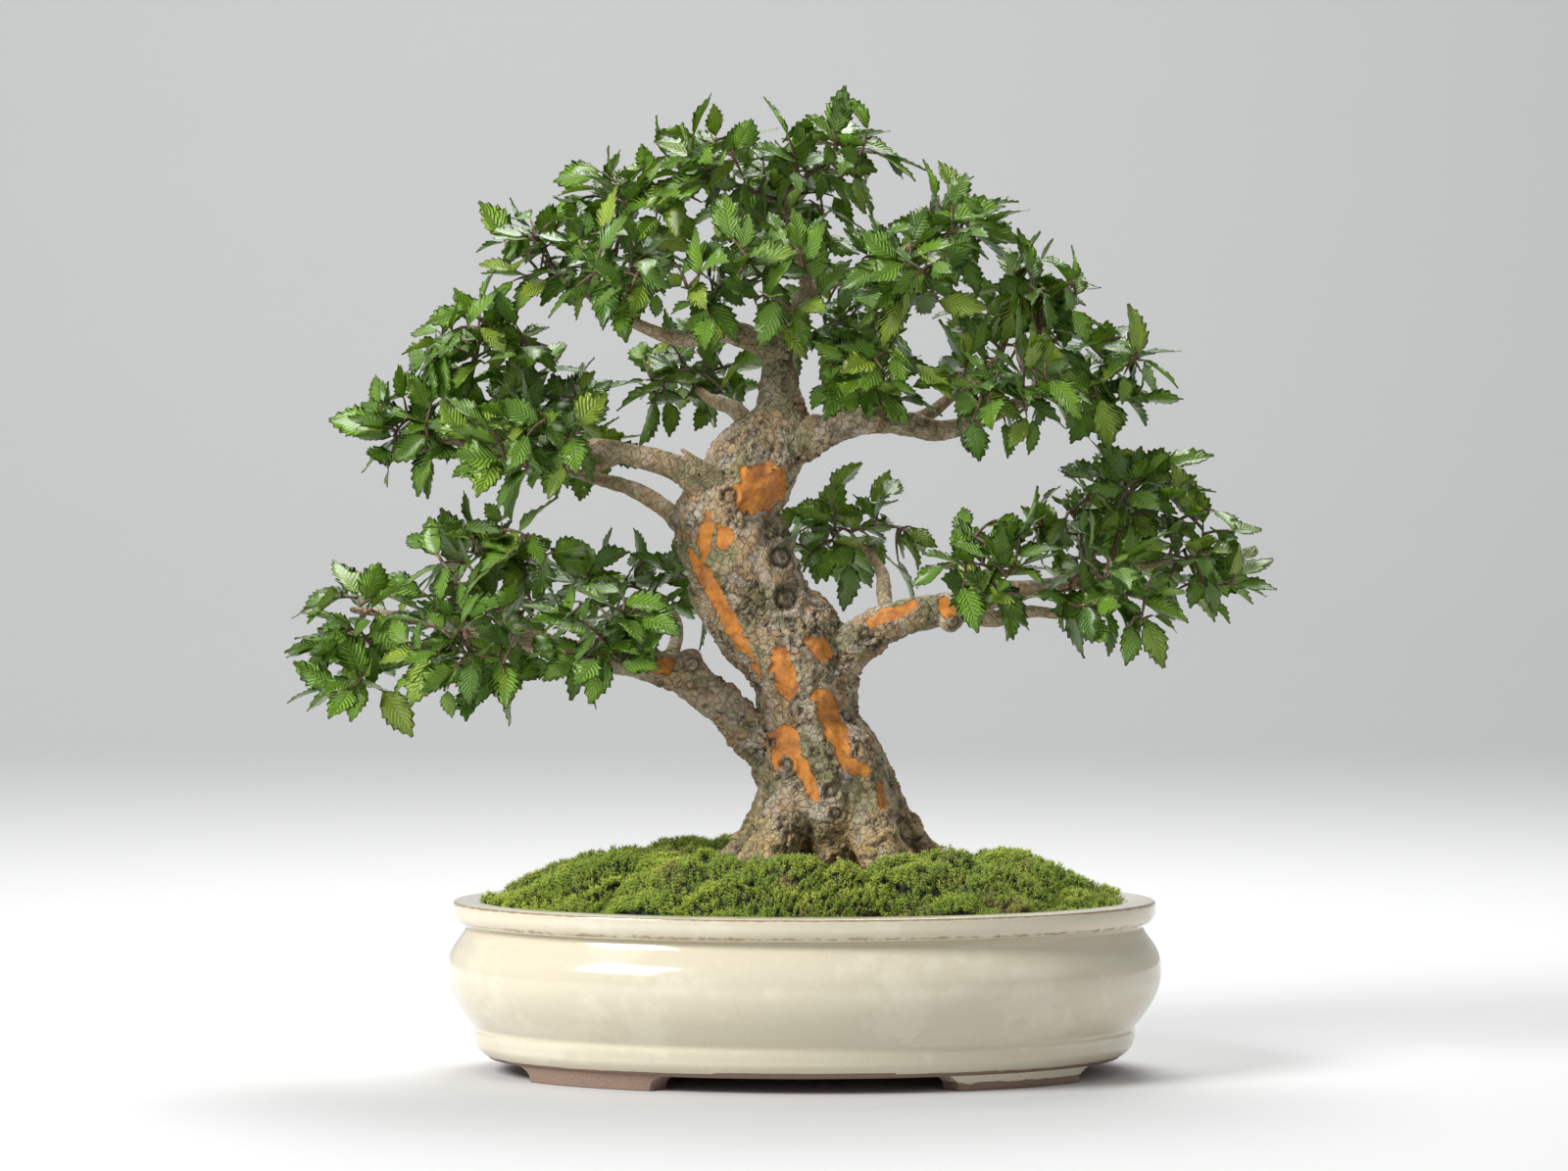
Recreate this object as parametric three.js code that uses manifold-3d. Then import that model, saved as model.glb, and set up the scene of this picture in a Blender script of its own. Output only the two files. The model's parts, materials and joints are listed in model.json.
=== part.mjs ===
/**
 * A Chinese elm bonsai in an oval glazed pot, as an assembly of separate solids.
 *
 * Millimetres, +Z up, -Y is the front. Everything is laid out from the middle of the pot with Z = 0
 * under its feet, and the whole group is moved once, at the end, so that the origin is the middle
 * of the bottom of the part's bounding box.
 *
 *   pot, screens and wires     the fired pot with its feet, drain holes and what covers them
 *   drainage layer and soil    the two fills, shaped to the inside of the pot
 *   moss pads                  cushions that lie on the soil, fitted round the roots
 *   trunk and limbs            the wood: a trunk with its root flare, and the limbs it carries
 *   shoots                     leafy twigs, several to a limb, each twigs and leaf blades in one
 */

import * as THREE from 'three';
import { mergeVertices } from 'three/addons/utils/BufferGeometryUtils.js';
import Module from 'manifold-3d';

const wasm = await Module();
wasm.setup();

// ---------------------------------------------------------------------------------------------
// Driving dimensions
// ---------------------------------------------------------------------------------------------

/** Gap left between two pieces that touch. */
const GAP = 0.3;
/** Gap left between the leaves of two different shoots. */
const LEAF_CLEARANCE = 0.5;
/** Twigs are drawn again, and a leaf is left off, where a join leaves edges shorter than this. */
const SLIVER = 0.0006;

const POT = {
  bellyHalfWidth: 160.2,
  rimHalfWidth: 157.6,
  neckHalfWidth: 151.9,
  shoulderHalfWidth: 149.2,
  baseHalfWidth: 142.4,
  /** How much less the oval measures from its middle to the front than to the side. */
  ovalDifference: 42.6,
  /** Half-width from which the oval difference is constant; it shrinks evenly inside this. */
  ovalFrom: 140,
  undersideZ: 6.6,
  shoulderZ: 21.5,
  bellyZ: 45,
  neckZ: 66.3,
  rimZ: 76.8,
  rimWidth: 12.5,
  wall: 9.5,
  floor: 9.5,
  segments: 40,
};

/** The bracket feet: where each starts and ends, from the middle plane, at its foot and its root. */
const FOOT = {
  across: { bottomFrom: 67, bottomTo: 121, topFrom: 60, topTo: 129 },
  deep: { bottomFrom: 46, bottomTo: 130, topFrom: 39, topTo: 140 },
  thickness: 15,
};

const DRAIN = { offset: 62, radius: 11 };
const SCREEN = { side: 34, thickness: 1.2, openings: 4, bar: 2.6 };
const WIRE = { radius: 0.7, rise: 1.4, reach: 16, sides: 5, steps: 20 };

const DRAINAGE_TOP_Z = 28;
const SOIL = { edgeZ: 68.5, crownZ: 86, crownX: 12, segments: 28, rings: 4 };

// ---------------------------------------------------------------------------------------------
// Solids
// ---------------------------------------------------------------------------------------------

/** Turns a closed three.js geometry into a solid that can be joined and cut. */
function solidOf(geometry) {
  const bare = geometry.index ? geometry.toNonIndexed() : geometry.clone();
  for (const name of Object.keys(bare.attributes)) {
    if (name !== 'position') bare.deleteAttribute(name);
  }
  const merged = mergeVertices(bare, 1e-4);
  const triangles = [];
  for (let i = 0; i < merged.index.count; i += 3) {
    const [a, b, c] = [merged.index.getX(i), merged.index.getX(i + 1), merged.index.getX(i + 2)];
    if (a !== b && b !== c && c !== a) triangles.push(a, b, c);
  }
  return new wasm.Manifold(new wasm.Mesh({
    numProp: 3,
    vertProperties: new Float32Array(merged.attributes.position.array),
    triVerts: new Uint32Array(triangles),
  }));
}

/** Turns a solid back into a geometry with flat faces. */
function geometryOf(solid) {
  const { numProp, vertProperties, triVerts } = solid.getMesh();
  const positions = new Float32Array((vertProperties.length / numProp) * 3);
  for (let i = 0; i < positions.length / 3; i += 1) {
    for (let k = 0; k < 3; k += 1) positions[3 * i + k] = vertProperties[numProp * i + k];
  }
  const geometry = new THREE.BufferGeometry();
  geometry.setAttribute('position', new THREE.BufferAttribute(positions, 3));
  geometry.setIndex(new THREE.BufferAttribute(new Uint32Array(triVerts), 1));
  geometry.computeVertexNormals();
  return geometry;
}

/** Joins any number of solids. */
function join(solids) {
  return solids.reduce((whole, solid) => whole.add(solid));
}

/** Keeps the biggest of the separate bodies that a cut leaves. */
function biggestBody(solid) {
  const bodies = solid.decompose();
  return bodies.reduce((best, body) => (body.volume() > best.volume() ? body : best));
}

/** Whether two solids share any volume, with a quick look at their boxes first. */
function touches(a, b) {
  const boxA = a.boundingBox();
  const boxB = b.boundingBox();
  for (let k = 0; k < 3; k += 1) {
    if (boxA.min[k] > boxB.max[k] || boxB.min[k] > boxA.max[k]) return false;
  }
  return a.intersect(b).volume() > 1e-6;
}

/** Least distance between two corners of a solid: a join that only grazes leaves slivers behind. */
function tightestSpacing(solid) {
  const { numProp, vertProperties: at } = solid.getMesh();
  let least = Infinity;
  for (let i = 0; i < at.length; i += numProp) {
    for (let j = 0; j < i; j += numProp) {
      least = Math.min(least, Math.hypot(at[i] - at[j], at[i + 1] - at[j + 1], at[i + 2] - at[j + 2]));
    }
  }
  return least;
}

/** A repeatable source of numbers from 0 to 1. */
function makeRandom(seed) {
  let state = seed >>> 0;
  return () => {
    state = (Math.imul(state, 1664525) + 1013904223) >>> 0;
    return state / 4294967296;
  };
}

/**
 * A tapering stem along a smooth curve, closed at both ends.
 *
 * @param {Array<Array<number>>} points  centre line, each [x, y, z, radius]
 * @param {number} sides                 corners of the section
 * @param {number} steps                 rings between the ends
 * @param {number} grown                 extra radius, for cutting a gap round the stem
 */
function stem(points, sides, steps, grown = 0) {
  const curve = new THREE.CatmullRomCurve3(
    points.map(([x, y, z]) => new THREE.Vector3(x, y, z)), false, 'centripetal',
  );
  const geometry = new THREE.CylinderGeometry(1, 1, 1, sides, steps);
  const position = geometry.attributes.position;
  const frames = curve.computeFrenetFrames(steps, false);
  const place = new THREE.Vector3();
  for (let i = 0; i < position.count; i += 1) {
    const t = 0.5 - position.getY(i);
    const ring = Math.round(t * steps);
    const along = (ring / steps) * (points.length - 1);
    const from = Math.min(Math.floor(along), points.length - 2);
    const radius = THREE.MathUtils.lerp(points[from][3], points[from + 1][3], along - from) + grown;
    curve.getPoint(ring / steps, place);
    if (ring === 0) place.addScaledVector(frames.tangents[0], -grown);
    if (ring === steps) place.addScaledVector(frames.tangents[steps], grown);
    place.addScaledVector(frames.normals[ring], -position.getX(i) * radius);
    place.addScaledVector(frames.binormals[ring], -position.getZ(i) * radius);
    position.setXYZ(i, place.x, place.y, place.z);
  }
  const solid = solidOf(geometry);
  return solid.volume() > 0 ? solid : solidOf(turnedInsideOut(geometry));
}

/** The same closed geometry with its faces wound the other way. */
function turnedInsideOut(geometry) {
  const copy = geometry.clone();
  const index = copy.index;
  for (let i = 0; i < index.count; i += 3) {
    const second = index.getX(i + 1);
    index.setX(i + 1, index.getX(i + 2));
    index.setX(i + 2, second);
  }
  return copy;
}

/** Where a centre line is, a share of the way along its list of points. */
function pointAlong(points, share) {
  const curve = new THREE.CatmullRomCurve3(
    points.map(([x, y, z]) => new THREE.Vector3(x, y, z)), false, 'centripetal',
  );
  return curve.getPoint(share);
}

// ---------------------------------------------------------------------------------------------
// The pot and what is under the soil
// ---------------------------------------------------------------------------------------------

/** Squeezes a turned shape front to back, so that its circles become the pot's ovals. */
function makeOval(geometry) {
  const position = geometry.attributes.position;
  for (let i = 0; i < position.count; i += 1) {
    const x = position.getX(i);
    const y = position.getY(i);
    const radius = Math.hypot(x, y);
    if (radius === 0) continue;
    const depth = radius - POT.ovalDifference * Math.min(1, radius / POT.ovalFrom);
    position.setY(i, (y * depth) / radius);
  }
  return geometry;
}

/** A solid turned from a list of [half-width, height] pairs and squeezed to the pot's oval. */
function ovalTurning(profile, segments = POT.segments) {
  const points = profile.map(([halfWidth, z]) => new THREE.Vector2(halfWidth, z));
  const geometry = new THREE.LatheGeometry(points, segments);
  geometry.rotateX(Math.PI / 2);
  return solidOf(makeOval(geometry));
}

/** Half-width of the inside of the pot at a height between its floor and its rim. */
function insideHalfWidth(z) {
  const share = THREE.MathUtils.clamp((z - POT.undersideZ - POT.floor) / (POT.bellyZ - 16), 0, 1);
  const belly = POT.bellyHalfWidth - POT.wall;
  const base = POT.shoulderHalfWidth - POT.wall - 3;
  const lower = base + (belly - base) * Math.sin((share * Math.PI) / 2);
  const neck = POT.rimHalfWidth - POT.rimWidth - 1.5;
  const above = THREE.MathUtils.clamp((z - POT.bellyZ) / (POT.neckZ - POT.bellyZ), 0, 1);
  return lower + (neck - belly) * above * above;
}

function potOutline() {
  const { bellyHalfWidth: belly, neckHalfWidth: neck, shoulderHalfWidth: shoulder } = POT;
  const outline = [[0, POT.undersideZ], [POT.baseHalfWidth - 2, POT.undersideZ]];
  outline.push([POT.baseHalfWidth, POT.undersideZ + 1.2], [145.5, 10.9], [147.6, 13.2], [148.2, 17.5]);
  outline.push([shoulder, POT.shoulderZ]);
  const lowerSteps = 3;
  for (let i = 1; i <= lowerSteps; i += 1) {
    const angle = (i / lowerSteps) * (Math.PI / 2);
    outline.push([
      shoulder + (belly - shoulder) * Math.sin(angle) ** 0.9,
      POT.shoulderZ + (POT.bellyZ - POT.shoulderZ) * (1 - Math.cos(angle)),
    ]);
  }
  const upperSteps = 3;
  for (let i = 1; i <= upperSteps; i += 1) {
    const share = i / upperSteps;
    outline.push([
      belly - (belly - neck) * share ** 1.8,
      POT.bellyZ + (POT.neckZ - POT.bellyZ) * share,
    ]);
  }
  outline.push([155.6, 68.9], [POT.rimHalfWidth, 73], [POT.rimHalfWidth - 1.1, POT.rimZ]);
  outline.push(...insideOutline(0).reverse());
  return outline;
}

/** The inside of the pot from the middle of its floor to its rim, drawn in from the clay. */
function insideOutline(inset) {
  const floorZ = POT.undersideZ + POT.floor;
  const outline = [[0, floorZ + inset], [insideHalfWidth(floorZ) - 3 - inset, floorZ + inset]];
  for (const z of [26, POT.bellyZ, POT.neckZ]) outline.push([insideHalfWidth(z) - inset, z]);
  outline.push([POT.rimHalfWidth - POT.rimWidth - inset, POT.rimZ]);
  return outline;
}

/** Everything inside the pot that keeps the given distance to the clay, up to its rim. */
function potInterior(inset) {
  return ovalTurning([...insideOutline(inset), [0, POT.rimZ]]);
}

/** Two brackets, one each side of the middle plane, run right through the pot along Y. */
function bracketPair({ bottomFrom, bottomTo, topFrom, topTo }) {
  const outline = new THREE.Shape();
  outline.moveTo(bottomFrom, -1);
  outline.lineTo(bottomTo, -1);
  outline.quadraticCurveTo(bottomTo, POT.undersideZ - 1, topTo, POT.undersideZ + 2);
  outline.lineTo(topFrom, POT.undersideZ + 2);
  outline.quadraticCurveTo(bottomFrom, POT.undersideZ - 1, bottomFrom, -1);
  const length = 2 * POT.rimHalfWidth;
  const geometry = new THREE.ExtrudeGeometry(outline, {
    depth: length, bevelEnabled: false, curveSegments: 4,
  });
  geometry.rotateX(Math.PI / 2);
  geometry.translate(0, length / 2, 0);
  const right = solidOf(geometry);
  return right.add(right.mirror([1, 0, 0]));
}

/** The four bracket feet: an oval band under the pot, kept only where the brackets stand. */
function potFeet() {
  const outer = POT.baseHalfWidth - 0.8;
  const inner = outer - FOOT.thickness;
  const band = ovalTurning([
    [inner, 0], [outer - 1.2, 0], [outer, POT.undersideZ + 1], [inner, POT.undersideZ + 1], [inner, 0],
  ]);
  const across = bracketPair(FOOT.across);
  const deep = bracketPair(FOOT.deep).rotate([0, 0, 90]);
  return band.intersect(across).intersect(deep);
}

function drainHole(side) {
  const geometry = new THREE.CylinderGeometry(DRAIN.radius, DRAIN.radius, 4 * POT.floor, 20);
  geometry.rotateX(Math.PI / 2);
  geometry.translate(side * DRAIN.offset, 0, POT.undersideZ);
  return solidOf(geometry);
}

function buildPot() {
  const body = ovalTurning(potOutline());
  return body.add(potFeet()).subtract(drainHole(-1)).subtract(drainHole(1));
}

/** A square of plastic mesh that lies over a drain hole: bars that cross, moulded as one. */
function buildScreen(side) {
  const pitch = (SCREEN.side - SCREEN.bar) / SCREEN.openings;
  const bars = [];
  for (let i = 0; i <= SCREEN.openings; i += 1) {
    const offset = (i - SCREEN.openings / 2) * pitch;
    const along = new THREE.BoxGeometry(SCREEN.side, SCREEN.bar, SCREEN.thickness);
    const across = new THREE.BoxGeometry(SCREEN.bar, SCREEN.side, SCREEN.thickness);
    along.translate(0, offset, 0);
    across.translate(offset, 0, 0);
    bars.push(solidOf(along), solidOf(across));
  }
  const z = POT.undersideZ + POT.floor + GAP + SCREEN.thickness / 2;
  return join(bars).translate([side * DRAIN.offset, 0, z]);
}

/** The wire that holds a screen: over a bar, down through the hole and bent out under the pot. */
function buildWire(side) {
  const middle = side * DRAIN.offset;
  const leg = (SCREEN.side - SCREEN.bar) / SCREEN.openings / 2;
  const top = POT.undersideZ + POT.floor + GAP + SCREEN.thickness + GAP + WIRE.radius;
  const under = POT.undersideZ - GAP - WIRE.radius;
  const half = (sign) => [
    [middle + sign * (leg - 1.4), leg, top + WIRE.rise],
    [middle + sign * leg, leg, top],
    [middle + sign * leg, leg, POT.undersideZ + POT.floor / 2],
    [middle + sign * leg, leg, POT.undersideZ + 1],
    [middle + sign * (leg + 1.4), leg, under],
    [middle + sign * WIRE.reach, leg, under],
  ];
  const path = [...half(-1).reverse(), ...half(1)];
  return stem(path.map((point) => [...point, WIRE.radius]), WIRE.sides, WIRE.steps);
}

/** The space over a screen and its wire that the grit leaves free. */
function screenPocket(side) {
  const height = SCREEN.thickness + 2 * GAP + 2 * WIRE.radius + WIRE.rise + 2;
  const width = SCREEN.side + 2 * GAP;
  const geometry = new THREE.BoxGeometry(width, width, height);
  geometry.translate(side * DRAIN.offset, 0, POT.undersideZ + POT.floor + height / 2);
  return solidOf(geometry);
}

/** A box far wider than the pot, between two heights. */
function slice(fromZ, toZ) {
  const side = 3 * POT.rimHalfWidth;
  const geometry = new THREE.BoxGeometry(side, side, toZ - fromZ);
  geometry.translate(0, 0, (fromZ + toZ) / 2);
  return solidOf(geometry);
}

function buildDrainageLayer() {
  const fill = potInterior(GAP).intersect(slice(0, DRAINAGE_TOP_Z));
  return fill.subtract(screenPocket(-1)).subtract(screenPocket(1));
}

/** Height of the soil: a low mound that is highest round the trunk. */
function soilHeight(x, y) {
  const across = (x - SOIL.crownX) / 128;
  const away = y / 92;
  const fall = THREE.MathUtils.smoothstep(Math.hypot(across, away), 0.12, 1);
  return THREE.MathUtils.lerp(SOIL.crownZ, SOIL.edgeZ, fall);
}

/** Everything under the soil's mound, with its top raised by the given amount. */
function mound(raised) {
  const edge = POT.rimHalfWidth;
  const profile = [[0, DRAINAGE_TOP_Z + GAP], [edge, DRAINAGE_TOP_Z + GAP]];
  for (let i = 0; i <= SOIL.rings; i += 1) {
    profile.push([edge * (1 - i / SOIL.rings), SOIL.edgeZ]);
  }
  const points = profile.map(([halfWidth, z]) => new THREE.Vector2(halfWidth, z));
  const geometry = new THREE.LatheGeometry(points, SOIL.segments);
  geometry.rotateX(Math.PI / 2);
  makeOval(geometry);
  const position = geometry.attributes.position;
  for (let i = 0; i < position.count; i += 1) {
    if (position.getZ(i) < SOIL.edgeZ - 0.01) continue;
    position.setZ(i, soilHeight(position.getX(i), position.getY(i)) + raised);
  }
  return solidOf(geometry);
}

/** The soil: it fills the pot to a little under its rim and is heaped round the trunk. */
function buildSoil(trunkGrown) {
  const heap = ovalTurning([
    [0, POT.bellyZ], [insideHalfWidth(POT.rimZ) - 4, POT.bellyZ],
    [insideHalfWidth(POT.rimZ) - 4, SOIL.crownZ + 10], [0, SOIL.crownZ + 10],
  ]);
  const inside = potInterior(GAP).add(heap);
  return biggestBody(mound(0).intersect(inside).subtract(trunkGrown));
}

// ---------------------------------------------------------------------------------------------
// Moss
// ---------------------------------------------------------------------------------------------

/** Moss cushions: [name, centre x, centre y, half-width, half-depth, height over the soil]. */
const MOSS_PADS = [
  ['moss_front_center', -30, -68, 68, 38, 9],
  ['moss_front_right', 68, -58, 52, 42, 9],
  ['moss_left', -102, -6, 50, 68, 10],
  ['moss_right', 110, 10, 46, 62, 10],
  ['moss_back_left', -50, 56, 50, 48, 12],
  ['moss_back_right', 62, 68, 50, 38, 9],
  ['moss_back_center', 8, 84, 34, 30, 9],
  ['moss_root_left', -50, -14, 34, 36, 10],
];

/** How far the middle of a cushion's dome lies under the soil. */
const MOSS_SUNK = 5;

/** One cushion: a flattened dome, before it is cut to the soil, the roots and its neighbours. */
function mossDome([, x, y, halfWidth, halfDepth, height], grown) {
  const geometry = new THREE.SphereGeometry(1, 12, 6);
  geometry.rotateX(Math.PI / 2);
  geometry.scale(halfWidth + grown, halfDepth + grown, height + MOSS_SUNK + grown);
  geometry.translate(x, y, soilHeight(x, y) - MOSS_SUNK);
  return solidOf(geometry);
}

function buildMossPads(trunkGrown) {
  const inside = ovalTurning([
    [0, 50], [POT.rimHalfWidth - POT.rimWidth - 2, 50], [POT.rimHalfWidth - POT.rimWidth - 2, 130], [0, 130],
  ]);
  const soilRaised = mound(GAP);
  const pads = new Map();
  const taken = [];
  for (const pad of MOSS_PADS) {
    let solid = mossDome(pad, 0).intersect(inside).subtract(soilRaised).subtract(trunkGrown);
    for (const neighbour of taken) solid = solid.subtract(neighbour);
    pads.set(pad[0], biggestBody(solid));
    taken.push(mossDome(pad, 2 * GAP));
  }
  return pads;
}

// ---------------------------------------------------------------------------------------------
// Wood
// ---------------------------------------------------------------------------------------------

/** Centre line of the trunk, each [x, y, z, radius]. */
const TRUNK_LINE = [
  [15, 2, 70, 26], [14, 1, 92, 37], [13, 0, 108, 33], [11, 0, 126, 32], [4, 0, 143, 28],
  [1, 0, 157, 22], [1, 0, 173, 23], [-4, 0, 188, 25], [-17, 1, 202, 23], [-25, 1, 217, 25],
  [-30, 2, 232, 24], [-35, 2, 246, 23], [-30, 1, 260, 20], [-21, 0, 273, 20], [-13, 0, 286, 16],
  [-11, 1, 302, 10], [-12, 1, 320, 7], [-10, 0, 331, 6], [-7, -1, 340, 5],
];

/** Surface roots, from inside the trunk out and down into the soil. */
const ROOT_LINES = [
  [[0, -4, 112, 15], [-16, -7, 101, 11], [-31, -10, 92, 7.5], [-46, -12, 78, 4]],
  [[4, -14, 112, 13], [-3, -27, 99, 9], [-7, -38, 89, 6], [-10, -50, 74, 3.5]],
  [[26, -14, 113, 15], [33, -24, 102, 11], [38, -33, 92, 8], [43, -45, 75, 4]],
  [[32, 0, 112, 14], [49, 3, 99, 9], [62, 6, 90, 6.5], [76, 9, 74, 3.5]],
  [[8, 12, 114, 15], [4, 29, 100, 10], [0, 43, 88, 7], [-4, 58, 73, 4]],
  [[26, 12, 112, 13], [38, 25, 99, 8.5], [48, 35, 89, 6], [57, 47, 74, 3.5]],
];

/**
 * The limbs. Each is a list of centre lines: the limb itself, then its forks, with points
 * [x, y, z, radius]. The first point is inside the trunk, or inside the limb that carries it.
 */
const LIMBS = {
  limb_lower_left: [
    [[-4, -4, 136, 11], [-20, -8, 148, 10.5], [-36, -12, 164, 9], [-51, -15, 176, 8.5],
      [-67, -16, 181, 7], [-84, -14, 184, 6], [-105, -10, 189, 5], [-128, -6, 195, 4],
      [-155, -4, 199, 3], [-182, -2, 204, 2.2], [-204, 0, 207, 1.5]],
    [[-62, -16, 180, 5], [-73, -12, 189, 4], [-98, -2, 186, 3], [-124, 12, 190, 2.4],
      [-146, 26, 198, 1.6]],
  ],
  limb_back_left: [
    [[-57, -10, 176, 4], [-60, 6, 184, 3.6], [-58, 24, 192, 3], [-58, 44, 201, 2.4],
      [-66, 66, 210, 1.6]],
  ],
  limb_lower_right: [
    [[3, 0, 177, 12], [16, -6, 187, 11], [28, -10, 195, 9.5], [40, -12, 202, 8.5],
      [54, -13, 206, 7.5], [71, -12, 210, 6.5], [87, -10, 214, 5.5], [106, -8, 217, 4],
      [125, -6, 220, 3.2], [145, -2, 225, 2.4], [166, 0, 229, 1.6]],
    [[66, -12, 208, 5], [84, -6, 203, 4], [102, 2, 206, 3], [122, 10, 204, 2.2],
      [142, 14, 208, 1.5]],
  ],
  limb_back_right: [
    [[38, -8, 203, 4], [36, 8, 212, 3.6], [36, 28, 221, 3], [32, 50, 229, 2.4],
      [26, 72, 236, 1.6]],
  ],
  limb_middle_left: [
    [[-30, -2, 255, 8], [-45, -9, 263, 7], [-56, -14, 270, 6], [-72, -18, 275, 5],
      [-91, -18, 279, 4.4], [-114, -12, 277, 3.6], [-137, -8, 279, 2.8], [-160, -4, 283, 2],
      [-178, 0, 287, 1.5]],
  ],
  limb_rear_left: [
    [[-34, 4, 238, 6], [-52, 12, 243, 5], [-64, 20, 253, 4.4], [-78, 32, 261, 3.8],
      [-95, 46, 266, 3], [-113, 62, 271, 2.2], [-126, 78, 276, 1.5]],
  ],
  limb_upper_back: [
    [[-20, 2, 284, 5], [-30, 14, 296, 4], [-38, 30, 300, 3.4], [-44, 48, 303, 2.6],
      [-50, 66, 308, 1.6]],
  ],
  limb_upper_right: [
    [[-16, 0, 274, 10], [0, -6, 282, 9], [15, -10, 289, 7.5], [30, -12, 292, 6.5],
      [47, -12, 290, 5.5], [62, -10, 287, 4.6], [79, -8, 292, 3.6], [97, -4, 300, 2.8],
      [116, 0, 307, 2], [132, 2, 311, 1.5]],
    [[47, -11, 290, 4], [58, 0, 296, 3], [68, 14, 304, 2.4], [80, 30, 314, 1.8],
      [90, 44, 322, 1.4]],
  ],
  limb_crown_left: [
    [[-11, 0, 320, 6], [-23, -6, 328, 5.4], [-37, -10, 331, 4.6], [-54, -12, 328, 3.8],
      [-69, -12, 332, 3], [-84, -8, 340, 2.4], [-97, -4, 348, 1.9], [-110, 0, 356, 1.5]],
  ],
  limb_crown_right: [
    [[-9, -1, 335, 5], [-3, -5, 344, 4.6], [8, -8, 352, 3.8], [22, -8, 357, 3],
      [39, -6, 365, 2.2], [55, 0, 373, 1.5]],
    [[2, -7, 348, 3.4], [-1, -6, 362, 2.8], [-5, -4, 378, 2.2], [-10, -2, 394, 1.5]],
  ],
  limb_rear: [
    [[-11, 3, 304, 5], [-10, 20, 312, 3.8], [-7, 42, 320, 3], [-2, 64, 327, 2.2],
      [6, 88, 334, 1.5]],
  ],
};

/** How many sides and rings a line of wood needs for its thickness and its number of bends. */
function woodStem(line, grown) {
  const sides = line[0][3] > 8 ? 9 : 7;
  return stem(line, sides, Math.max(4, line.length), grown);
}

function buildTrunk(grown) {
  const core = stem(TRUNK_LINE, 12, 20, grown);
  return join([core, ...ROOT_LINES.map((line) => stem(line, 8, 4, grown))]);
}

/** All the limbs, each cut back from the wood that carries it. */
function buildLimbs(trunkGrown) {
  const limbs = new Map();
  const taken = [trunkGrown];
  for (const [name, lines] of Object.entries(LIMBS)) {
    let solid = join(lines.map((line) => woodStem(line, 0)));
    for (const wood of taken) {
      if (touches(solid, wood)) solid = solid.subtract(wood);
    }
    limbs.set(name, biggestBody(solid));
    taken.push(join(lines.map((line) => woodStem(line, GAP))));
  }
  return { limbs, grownWood: taken };
}

// ---------------------------------------------------------------------------------------------
// Leafy shoots
// ---------------------------------------------------------------------------------------------

/** Leaf blade of the elm. */
const LEAF = { length: 24, width: 12.5, thickness: 1, rooted: 0.6, widestAt: 0.42 };

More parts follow.
